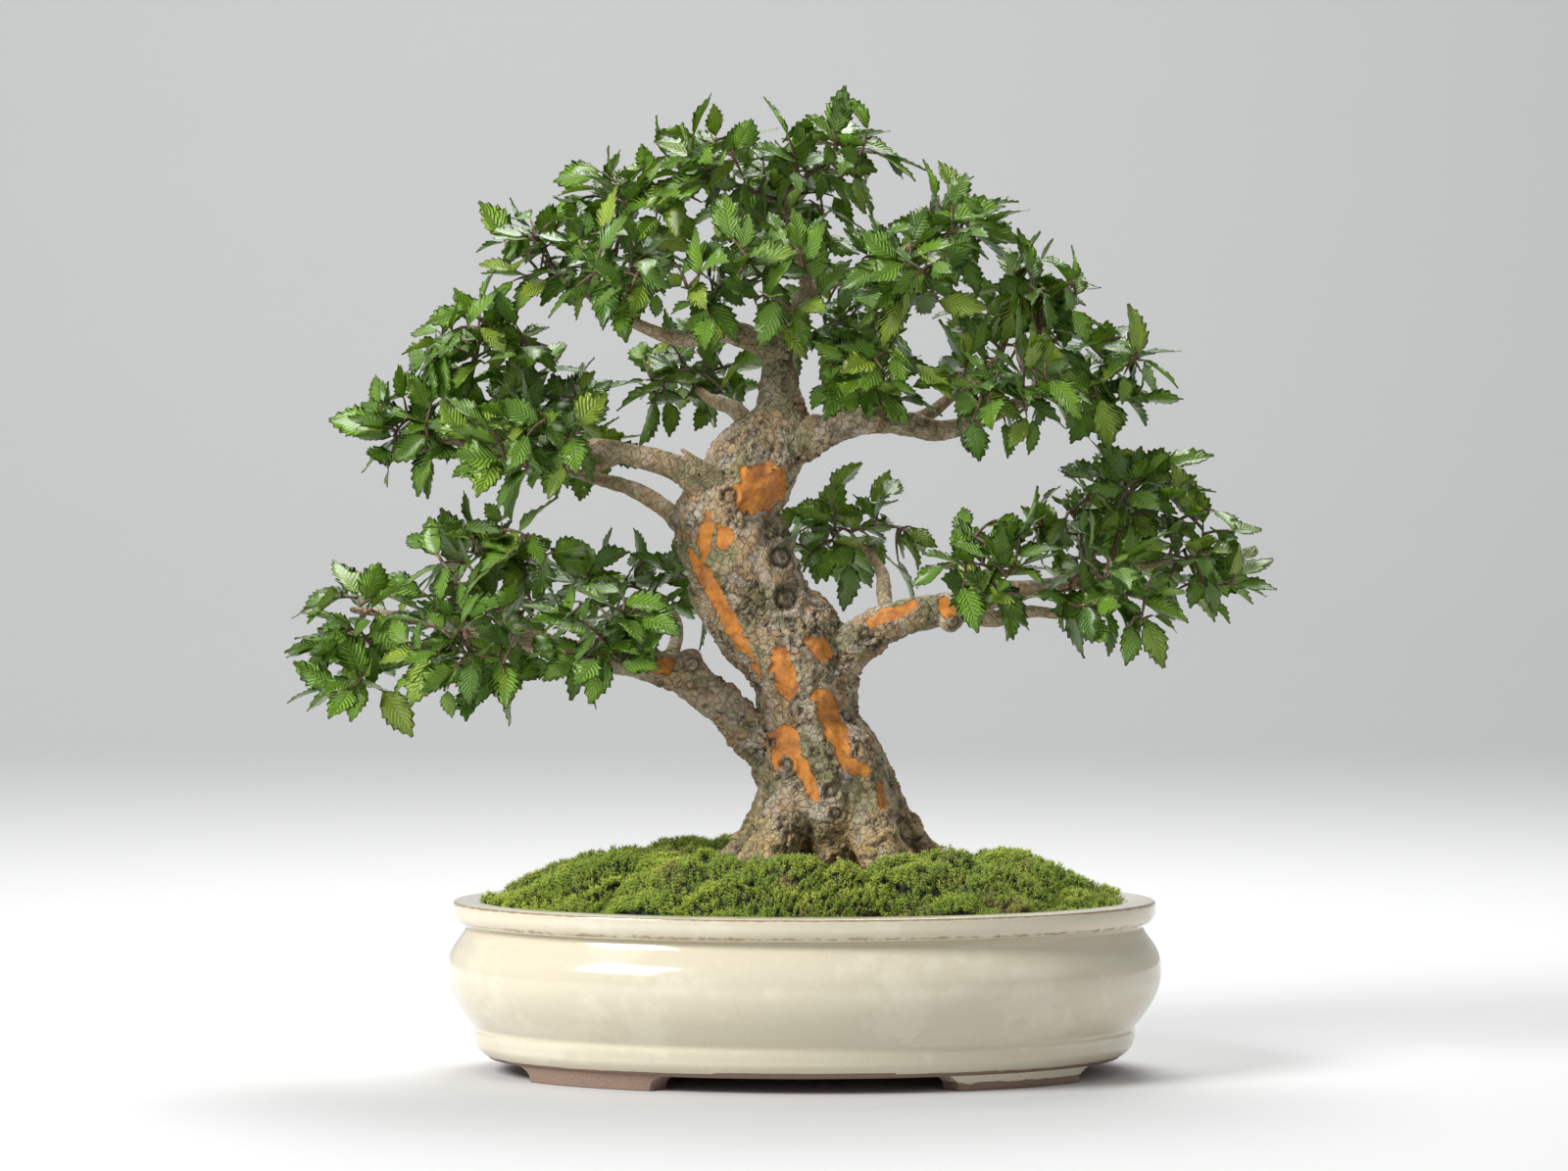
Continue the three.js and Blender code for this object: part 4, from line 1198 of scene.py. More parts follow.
@dataclass
class MossBed:
    """The moss: each pad a soft mound thick with short leafy stems."""

    ground: Ground
    density: float = 0.58
    stem_height: float = 4.6
    stem_size: tuple[float, float] = (0.7, 1.1)
    stem_kinds: int = 5
    pad_height: tuple[float, float] = (9.0, 11.5)
    spill: float = 1.1
    cushion_size: float = 25.0
    cushion_rise: float = 4.8
    cushion_sink: float = 3.2
    mound_cells: tuple[int, int] = (64, 30)
    seed: int = 5
    pad_names: tuple[str, ...] = (
        "front_center", "front_right", "left", "right",
        "back_left", "back_right", "back_center", "root_left",
    )

    def pads(self, layout: Layout) -> dict[str, Pad]:
        """Reads the pads' outlines and heights from the frame.

        Args:
            layout: Reads the boxes.

        Returns:
            Middle x and y, half-width, half-depth and height over the soil, by node.
        """
        found = {}
        for node in ("moss_" + name for name in self.pad_names):
            middle, half = layout.box(node)
            top = middle[2] + half[2] - float(self.ground.height(middle[0], middle[1]))
            half_width, half_depth = half[:2] * self.spill
            found[node] = (middle[0], middle[1], half_width, half_depth, np.clip(top, *self.pad_height))
        return found

    def dome(self, pad: Pad, x: Array, y: Array) -> Array:
        """Gives a pad's height over the soil, and minus one outside it.

        Args:
            pad: The pad.
            x: Places from left to right, in millimetres.
            y: Places from front to back.

        Returns:
            The height at each place.
        """
        middle_x, middle_y, half_width, half_depth, height = pad
        out = np.hypot((x - middle_x) / half_width, (y - middle_y) / half_depth)
        rise = height * np.sqrt(np.clip(1 - out**3.2, 0, 1))
        return np.where(out < 1, rise, -1.0)

    def lumps(self, x: Array, y: Array) -> Array:
        """Gives the soft lumps that all the pads share.

        Args:
            x: Places from left to right, in millimetres.
            y: Places from front to back.

        Returns:
            The height at each place.
        """
        flat = np.column_stack([x, y, np.zeros_like(x)])
        wander = [fractal(flat, 14.0, 2, shift) for shift in (3.1, 8.4)]
        wander = np.column_stack([*wander, np.zeros_like(x)])
        cells = (flat + 6 * wander) / self.cushion_size
        gaps = np.array([noise.voronoi(Vector(place))[0][:2] for place in cells])
        cushion = smoothstep(0.0, 0.36, gaps[:, 1] - gaps[:, 0])
        broad, small = fractal(flat, 26.0, 2, 5.0), fractal(flat, 6.0, 2, 7.7)
        return self.cushion_rise * cushion - self.cushion_sink + 1.6 * broad + 0.5 * small

    def stem(self, rng: Generator) -> tuple[Array, Array, Array]:
        """Models one moss stem with a rosette of pointed leaves.

        Args:
            rng: Draws its small differences.

        Returns:
            Its vertices, its triangles and the height share of each vertex.
        """
        stamped = Stamped()
        spike = np.array([[0.36, 0, 0], [-0.18, 0.31, 0], [-0.18, -0.31, 0], [0, 0, 1.0]])
        faces = np.array([[0, 2, 1], [0, 1, 3], [1, 2, 3], [2, 0, 3]])
        stem = spike * [1.0, 1.0, self.stem_height]
        stamped.add(stem, faces, height=np.array([0.0, 0.0, 0.0, 1.0]))
        for level, count, lift in ((0.52, 3, 0.9), (0.8, 3, 1.7)):
            for i in range(count):
                spin = 2 * math.pi * (i + level) / count + rng.uniform(-0.4, 0.4)
                up = np.array([math.cos(spin), math.sin(spin), lift + rng.uniform(-0.15, 0.25)])
                turn = turns_to(unit(up[None]), np.array([spin]))[0]
                leaf = spike * [1.0, 0.6, rng.uniform(1.7, 2.5)]
                places = leaf @ turn.T + [0, 0, level * self.stem_height]
                stamped.add(places, faces, height=np.array([level, level, level, 1.0]))
        places = np.concatenate(stamped.places)
        return places, np.concatenate(stamped.faces), np.concatenate(stamped.numbers["height"])

    def build(self, layout: Layout, effects: Effects, wood: Wood) -> None:
        """Builds every pad and hands it to the frame.

        Args:
            layout: Places it in the frame.
            effects: The shared effects.
            wood: Says where the roots are.
        """
        rng = np.random.default_rng(self.seed)
        pads = self.pads(layout)
        stems = [self.stem(rng) for _ in range(self.stem_kinds)]
        material = Moss().build(effects)
        buried = wood.samples(("trunk",))
        for node, pad in pads.items():
            rivals = [other for name, other in pads.items() if name != node]
            mound = self.build_mound(node, pad, layout)
            stamped = Stamped()
            for prototype in stems:
                self.scatter(stamped, prototype, pad, rivals, buried, rng)
            join_into(mound, stamped.piece(node + "_stems", layout))
            mound.name = node.replace("moss_", "moss_cushion_")
            finish_piece(mound, [material], "moss", node)

    def build_mound(self, node: str, pad: Pad, layout: Layout) -> Object:
        """Builds the body of one pad, coloured with the painted shade under its stems.

        Args:
            node: The pad's node.
            pad: The pad.
            layout: Places it in the frame.

        Returns:
            The mound.
        """
        ground = self.ground

        def top(x: Array, y: Array) -> Array:
            """Follows the dome."""
            rise = np.maximum(self.dome(pad, x, y), 0) * 0.93
            return ground.height(x, y) + rise + self.lumps(x, y) - 0.6

        def bottom(x: Array, y: Array) -> Array:
            """Lies in the soil."""
            return ground.height(x, y) - 3.0

        outline = self.kept_inside(pad)
        mound = ground.shell(node + "_mound", layout, top, bottom, outline, self.mound_cells)
        # The mound takes the moss's painted shade colour from its low height share.
        set_attribute(mound.data, "height", np.full(len(mound.data.vertices), 0.12))
        set_attribute(mound.data, "tint", np.full(len(mound.data.vertices), 0.2))
        return mound

    def kept_inside(self, pad: Pad) -> tuple[float, float, float, float]:
        """Draws a pad's outline in until it clears the wall of the pot.

        Args:
            pad: The pad.

        Returns:
            Middle x and y, half-width and half-depth.
        """
        x, y, half_width, half_depth, _ = pad
        angle = np.linspace(0, 2 * math.pi, 60)
        for shrink in np.linspace(0.97, 0.5, 20):
            far = np.hypot(
                (x + shrink * half_width * np.cos(angle)) / (self.ground.reach[0] + 1),
                (y + shrink * half_depth * np.sin(angle)) / (self.ground.reach[1] + 1),
            )
            if far.max() < 1:
                break
        return x, y, half_width * shrink, half_depth * shrink

    def scatter(
        self,
        stamped: Stamped,
        prototype: tuple[Array, Array, Array],
        pad: Pad,
        rivals: Sequence[Pad],
        buried: Array,
        rng: Generator,
    ) -> None:
        """Stands stems over one pad, where it is the highest and no root is in the way.

        Args:
            stamped: Gathers the stems.
            prototype: One stem's vertices, triangles and height shares.
            pad: The pad.
            rivals: The other pads.
            buried: Middle line and radius of the roots.
            rng: Draws the places.
        """
        middle_x, middle_y, half_width, half_depth, _ = pad
        count = int(4 * half_width * half_depth * self.density / self.stem_kinds)
        x = middle_x + half_width * rng.uniform(-1, 1, count)
        y = middle_y + half_depth * rng.uniform(-1, 1, count)
        own = self.dome(pad, x, y)
        keep = own > 0
        for rival in rivals:
            keep &= own > self.dome(rival, x, y)
        keep &= np.hypot(x / (self.ground.reach[0] + 0.5), y / (self.ground.reach[1] + 0.5)) < 1
        x, y, own = x[keep], y[keep], own[keep]
        rise = self.ground.height(x, y) + own + self.lumps(x, y) - 1.6
        places = np.column_stack([x, y, rise])
        apart = np.linalg.norm(places[:, None, :] - buried[None, :, :3], axis=2) - buried[None, :, 3]
        clear = apart.min(axis=1) > 0.2
        places = places[clear]
        count = len(places)
        lean = (places[:, :2] - [middle_x, middle_y]) / [half_width, half_depth]
        ups = np.column_stack([lean * 0.75, np.ones(count)]) + rng.normal(0, 0.22, (count, 3))
        size = rng.uniform(*self.stem_size, count)
        turns = turns_to(unit(ups), rng.uniform(0, 2 * math.pi, count)) * size[:, None, None]
        patch = 0.5 + 0.5 * fractal(places, 13.0, 2, 1.7)
        tint = np.clip(patch * 0.7 + rng.uniform(0, 0.45, count), 0, 1)
        stamped.add_copies(prototype[:2], turns, places, {"height": prototype[2]}, {"tint": tint})


# ---- Wood ----


@dataclass(frozen=True)
class Stem:
    """One woody stem: places on its middle line and the radius at each, in millimetres."""

    piece: str
    line: tuple[tuple[float, float, float, float], ...]

    def smooth(self, gap: float = 2.0) -> Array:
        """Runs a smooth line through the places.

        Args:
            gap: Distance between the places that it returns.

        Returns:
            Rows of x, y, z and radius.
        """
        points = np.array(self.line, float)
        ends = np.vstack([2 * points[0] - points[1], points, 2 * points[-1] - points[-2]])
        rows = []
        for a, b, c, d in zip(ends[:-3], ends[1:-2], ends[2:-1], ends[3:]):
            steps = max(2, round(float(np.linalg.norm(c[:3] - b[:3])) / gap))
            t = np.arange(steps)[:, None] / steps
            curve = (2 * a - 5 * b + 4 * c - d) * t**2 + (3 * b - a - 3 * c + d) * t**3
            rows.append(0.5 * (2 * b + (c - a) * t + curve))
        rows.append(points[-1:])
        smoothed = np.concatenate(rows)
        smoothed[:, 3] = np.maximum(smoothed[:, 3], 0.6)
        return smoothed

    def at(self, share: float) -> Array:
        """Gives the place at a share of the stem's length.

        Args:
            share: Share of the length, from the foot.

        Returns:
            The place.
        """
        points = self.smooth()
        steps = np.linalg.norm(np.diff(points[:, :3], axis=0), axis=1)
        away = np.concatenate([[0.0], np.cumsum(steps)])
        return np.array([np.interp(share * away[-1], away, points[:, i]) for i in range(3)])


@dataclass(frozen=True)
class Patch:
    """A marked place on the front of the wood, in millimetres."""

    x: float
    z: float
    half_width: float
    half_height: float
    lean: float = 0.0

    def away(self, places: Array) -> Array:
        """Gives how far places are from its middle, with 1 at its edge.

        Args:
            places: Places on the skin.

        Returns:
            One number for each place.
        """
        cos, sin = math.cos(self.lean), math.sin(self.lean)
        side, up = places[:, 0] - self.x, places[:, 2] - self.z
        across, along = side * cos - up * sin, side * sin + up * cos
        return np.hypot(across / self.half_width, along / self.half_height)


@dataclass
class Wood:
    """Trunk, roots and limbs: grown together as one surface, then parted into the tree's pieces."""

    stems: tuple[Stem, ...]
    peeled: tuple[Patch, ...]
    knots: tuple[Patch, ...]
    voxel: float = 0.9
    plate_size: tuple[float, float, float] = (6.0, 6.0, 8.0)
    peel_depth: float = 0.75
    knot_relief: float = 1.3
    smallest_island: int = 400
    back_patches: int = 26
    seed: int = 3

    def samples(self, pieces: Sequence[str] = ()) -> Array:
        """Gives places on the middle lines of the named pieces, or of all of them.

        Args:
            pieces: Names of the pieces; none means all.

        Returns:
            Rows of x, y, z and radius.
        """
        chosen = [stem for stem in self.stems if not pieces or stem.piece in pieces]
        return np.concatenate([stem.smooth() for stem in chosen])

    def build_surface(self, layout: Layout) -> Object:
        """Sweeps every stem, welds them into one skin and eases the forks.

        Args:
            layout: Places it in the frame.

        Returns:
            The skin.
        """
        curve = bpy.data.curves.new("stem_lines", "CURVE")
        curve.dimensions = "3D"
        curve.bevel_depth = MM
        curve.bevel_resolution = 9
        curve.use_fill_caps = True
        for stem in self.stems:
            rows = stem.smooth(4.0)
            spline = curve.splines.new("POLY")
            spline.points.add(len(rows) - 1)
            homogeneous = np.column_stack([layout.metres(rows[:, :3]), np.ones(len(rows))])
            spline.points.foreach_set("co", homogeneous.ravel())
            spline.points.foreach_set("radius", rows[:, 3])
        lines = bpy.data.objects.new("stem_lines", curve)
        bpy.context.scene.collection.objects.link(lines)
        activate(lines)
        bpy.ops.object.convert(target="MESH")
        skin = bpy.context.object
        apply_modifier(skin, "REMESH", mode="VOXEL", voxel_size=self.voxel * MM)
        apply_modifier(skin, "SMOOTH", factor=0.6, iterations=6)
        return skin

    def nearest(self, places: Array) -> tuple[Array, Array]:
        """Finds the stem that each place belongs to.

        Args:
            places: Places on the skin, one row each.

        Returns:
            The number of the stem, and the stem's radius there.
        """
        lines = [stem.smooth() for stem in self.stems]
        owner = np.repeat(np.arange(len(lines)), [len(line) for line in lines])
        rows = np.concatenate(lines)
        found = np.empty(len(places), int)
        for start in range(0, len(places), 6000):
            part = places[start : start + 6000]
            squared = (part**2).sum(1)[:, None] + (rows[:, :3] ** 2).sum(1) - 2 * part @ rows[:, :3].T
            found[start : start + 6000] = (np.sqrt(np.maximum(squared, 0)) - rows[:, 3]).argmin(axis=1)
        return owner[found], rows[found, 3]

    def peeling(self, places: Array, normals: Array) -> Array:
        """Marks where the bark has come away: the known patches in front, chance ones behind.

        Args:
            places: Places on the skin.
            normals: The way the skin faces at each.

        Returns:
            How far each place is peeled, from 0 to 1.
        """
        ragged = 0.4 * fractal(places, 6.0, 3, 5.5) + 0.14 * fractal(places, 1.8, 2, 1.5)
        peel = np.zeros(len(places))
        front = normals[:, 1] < 0.05
        for patch in self.peeled:
            away = patch.away(places) + ragged
            peel = np.maximum(peel, (1 - smoothstep(0.88, 1.08, away)) * front)
        rng = np.random.default_rng(self.seed)
        behind = np.flatnonzero((normals[:, 1] > 0.15) & (places[:, 2] > 95))
        for centre in places[rng.choice(behind, self.back_patches)]:
            reach = rng.uniform(4, 9) * np.array([1.0, 1.0, rng.uniform(0.6, 0.9)])
            away = np.linalg.norm((places - centre) / reach, axis=1) + ragged
            peel = np.maximum(peel, (1 - smoothstep(0.88, 1.08, away)) * (normals[:, 1] > 0.0))
        return peel

    def weather(self, skin: Object, layout: Layout) -> Array:
        """Gives the skin its flutes, flakes, knots and peeled patches.

        Args:
            skin: The smooth skin; its vertices are moved and numbers are stored on them.
            layout: Turns between millimetres and the frame.

        Returns:
            The number of the stem that each vertex belongs to.
        """
        places = (vertex_places(skin) - layout.origin) / MM
        normals = np.empty(len(places) * 3)
        skin.data.vertex_normals.foreach_get("vector", normals)
        normals = normals.reshape(-1, 3)
        owner, radius = self.nearest(places)
        old = smoothstep(3.0, 10.0, radius)
        thick = np.clip(radius / 24, 0, 1)
        low = 1 - smoothstep(95.0, 150.0, places[:, 2])
        flutes = fractal(places * [1.0, 1.0, 0.28], 11.0, 3, 2.0)
        lumps = fractal(places, 15.0, 3, 9.0)
        grain = fractal(places * [1.0, 1.0, 0.6], 2.4, 2, 4.0)
        peel = self.peeling(places, normals)
        ragged = np.column_stack([fractal(places, 5.0, 3, 12.0), flutes, fractal(places, 6.0, 3, 31.0)])
        plates, cracks, lips = self.plates(places + 3.6 * ragged)
        patchy = smoothstep(-0.25, 0.3, fractal(places, 14.0, 2, 20.0))
        cracks = cracks * (0.25 + 0.75 * patchy)
        shift = 1.5 * lumps * np.clip(radius / 12, 0.05, 1) + (1.3 + 1.6 * low) * flutes * thick
        rough = (0.3 + 0.5 * patchy) * (plates + 0.9 * lips) - 0.6 * cracks + 0.22 * grain
        shift += old * (1 - peel) * rough
        shift += (1 - old) * 0.12 * grain
        shift -= peel * (self.peel_depth - 0.12 * grain) * np.clip(radius / 10, 0, 1)
        # Lower plates are darkened as painted shade, along with the real dark cracks.
        edge = smoothstep(0.1, 0.9, -plates) * (0.3 + 0.5 * patchy)
        crack_and_hollow_shade = np.clip((cracks + 0.5 * edge) * old * (1 - peel), 0, 1)
        for knot in self.knots:
            away = knot.away(places) + 0.1 * grain
            ring = np.exp(-((away - 1) ** 2) / 0.05)
            groove = np.exp(-((away - 0.6) ** 2) / 0.03)
            facing = normals[:, 1] < 0.1
            shift += facing * np.clip(radius / 12, 0, 1) * self.knot_relief * (ring - groove)
            # Painted shade in each knot's groove, and its dark middle.
            crack_and_hollow_shade = np.maximum(crack_and_hollow_shade, facing * np.maximum(groove, 0.7 * (away < 0.25)))
        # Painted shade in the hollows between the flutes low on the trunk.
        crack_and_hollow_shade = np.clip(crack_and_hollow_shade + smoothstep(0.25, 0.9, -flutes) * low * 0.6, 0, 1)
        set_vertex_places(skin, layout.metres(places + normals * shift[:, None]))
        set_attribute(skin.data, "peel", peel)
        set_attribute(skin.data, "crack_and_hollow_shade", crack_and_hollow_shade)
        set_attribute(skin.data, "flake", plates)
        set_attribute(skin.data, "young", 1 - smoothstep(2.0, 8.5, radius))
        return owner

    def plates(self, places: Array) -> tuple[Array, Array, Array]:
        """Breaks the bark into plates.

        Args:
            places: Places on the skin, one row each.

        Returns:
            How high each place's plate stands, and how much it is in a crack and on a plate's lip.
        """
        height, crack = np.empty(len(places)), np.empty(len(places))
        for i, place in enumerate(places / self.plate_size):
            gaps, middles = noise.voronoi(Vector(place))
            height[i] = math.sin(37.0 * middles[0].x + 17.0 * middles[0].y + 29.0 * middles[0].z)
            crack[i] = gaps[1] - gaps[0]
        return height, 1 - smoothstep(0.0, 0.12, crack), np.exp(-(((crack - 0.2) / 0.1) ** 2))

    def build(self, layout: Layout, effects: Effects) -> None:
        """Builds the wood and hands each piece to the frame.

        Args:
            layout: Places it in the frame.
            effects: The shared effects.
        """
        skin = self.build_surface(layout)
        owner = self.weather(skin, layout)
        names = list(dict.fromkeys(stem.piece for stem in self.stems))
        number = np.array([names.index(stem.piece) for stem in self.stems])[owner]
        material = Bark().build(effects)
        labels = self.face_labels(skin, number)
        for index, name in enumerate(names):
            piece = self.part_off(skin, labels == index, name)
            finish_piece(piece, [material], "bark", name)
        bpy.data.objects.remove(skin)

    def face_labels(self, skin: Object, number: Array) -> Array:
        """Gives every face to a piece and hands loose scraps to their neighbours.

        Args:
            skin: The whole skin.
            number: The piece that each vertex belongs to.

        Returns:
            The piece that each face belongs to.
        """
        graph = bmesh.new()
        graph.from_mesh(skin.data)
        labels = np.array([number[face.verts[0].index] for face in graph.faces])
        graph.faces.ensure_lookup_table()
        for _ in range(2):
            seen = np.zeros(len(labels), bool)
            for first in range(len(labels)):
                if seen[first]:
                    continue
                island, edge_labels = [first], []
                seen[first] = True
                for at in island:
                    for edge in graph.faces[at].edges:
                        for face in edge.link_faces:
                            if labels[face.index] != labels[first]:
                                edge_labels.append(labels[face.index])
                            elif not seen[face.index]:
                                seen[face.index] = True
                                island.append(face.index)
                if len(island) < self.smallest_island and edge_labels:
                    labels[island] = max(set(edge_labels), key=edge_labels.count)
        graph.free()
        return labels

    @staticmethod
    def part_off(skin: Object, kept: Array, name: str) -> Object:
        """Copies one piece's faces off the skin and closes where it joined the rest.

        Args:
            skin: The whole skin.
            kept: Whether each face is this piece's.
            name: Name of the piece's node.

        Returns:
            The closed piece.
        """
        piece = skin.copy()
        piece.data = skin.data.copy()
        piece.name = piece.data.name = "wood_" + name.removeprefix("limb_")
        bpy.context.scene.collection.objects.link(piece)
        activate(piece)
        piece.data.polygons.foreach_set("select", ~kept)
        bpy.ops.object.mode_set(mode="EDIT")
        bpy.ops.mesh.select_mode(type="FACE")
        bpy.ops.mesh.delete(type="FACE")
        bpy.ops.mesh.select_mode(type="EDGE")
        bpy.ops.mesh.select_all(action="DESELECT")
        bpy.ops.mesh.select_non_manifold(
            extend=False, use_wire=False, use_multi_face=False, use_verts=False
        )
        bpy.ops.mesh.mark_sharp()
        bpy.ops.mesh.fill_holes(sides=0)
        bpy.ops.object.mode_set(mode="OBJECT")
        bpy.ops.object.shade_smooth()
        return piece


# ---- Foliage ----


@dataclass(frozen=True)
class Shoot:
    """One clump of leafy twigs: the stem it grows from, how far along, its middle and its reach.

    The stem is given by its place in STEMS.
    """

    name: str
    limb: int
    share: float
    centre: tuple[float, float, float]
    reach: tuple[float, float, float]


@dataclass
class LeafShape:
    """A toothed elm leaf: folded along its midrib, drooping and a little uneven."""

    length: float = 21.0
    ratio: float = 0.66
    stations: int = 12
    stalk: float = 2.2
    thickness: float = 0.16

    def build(self, rng: Generator) -> tuple[Array, Array, dict[str, Array]]:
        """Models one leaf along +x with its face up.

        Args:
            rng: Draws what makes this leaf differ from the others.

        Returns:
            Its vertices, its faces, and the share across and along of each vertex.
        """
        fold, droop = rng.uniform(0.05, 0.34), rng.uniform(0.06, 0.38)
        twist, bend = rng.uniform(-0.35, 0.35), rng.uniform(-0.14, 0.14)
        lopsided, phase = rng.uniform(-0.08, 0.08), rng.uniform(0, 6)
        ripple = rng.uniform(0.25, 0.7)
        share = np.linspace(0.03, 0.955, self.stations)
        outline = np.sin(math.pi * share**0.76) ** (0.55 + 0.45 * share) * (1 - 0.3 * share)
        half = self.ratio * self.length / 2 * outline / outline.max()
        teeth = 1 + 0.11 * np.where(np.arange(self.stations) % 2, 1, -1) * (share > 0.12)
        across = np.array([-1.0, -0.52, 0.0, 0.52, 1.0])
        rows = []
        for place, wide, tooth in zip(share, half, teeth):
            side = across * wide * np.array([tooth, 1, 1, 1, tooth]) * (1 + lopsided * across)
            x = self.length * place + across**2 * (1.5 if tooth > 1 else 0.4)
            lift = fold * np.abs(side) - droop * self.length * place**2 * 0.55
            lift = lift + ripple * np.sin(9 * place + phase + across) * across**2
            turn = twist * place
            y = side * math.cos(turn) + bend * self.length * place**2
            rows.append(np.column_stack([x, y, lift + side * math.sin(turn)]))
        top = np.array(rows)
        under = top[:, 2] - [0, 0, self.thickness]
        base = np.array([[-self.stalk, 0, 0.1]])
        tip = top[-1, 2:3] + [0.055 * self.length, 0, -0.05 * self.length * droop * 2]
        places = np.concatenate([top.reshape(-1, 3), under, base, tip])
        sides = np.concatenate([np.tile(across, self.stations), np.zeros(self.stations + 2)])
        along = np.concatenate([np.repeat(share, len(across)), share, [0.0, 1.0]])
        return places, self.faces(), {"across": sides, "along": along}

    def faces(self) -> Array:
        """Lists a leaf's faces: strips above, a ridge below, and a fan at each end.

        Returns:
            Corners of the faces, one row each.
        """
        size, width = self.stations, 5
        first = size * width
        faces = []
        for i in range(size - 1):
            a, b = i * width, (i + 1) * width
            faces += [(a + j, b + j, b + j + 1, a + j + 1) for j in range(width - 1)]
            c, d = first + i, first + i + 1
            faces += [(a, c, d, b), (c, a + 4, b + 4, d)]
        start, end = first + size, first + size + 1
        a, c = 0, first
        faces += [(start, a + j, a + j + 1, -1) for j in range(4)]
        faces += [(start, c, a, -1), (start, a + 4, c, -1)]
        a, c = (size - 1) * width, first + size - 1
        faces += [(end, a + j + 1, a + j, -1) for j in range(4)]
        faces += [(end, a, c, -1), (end, c, a + 4, -1)]
        return np.array(faces)


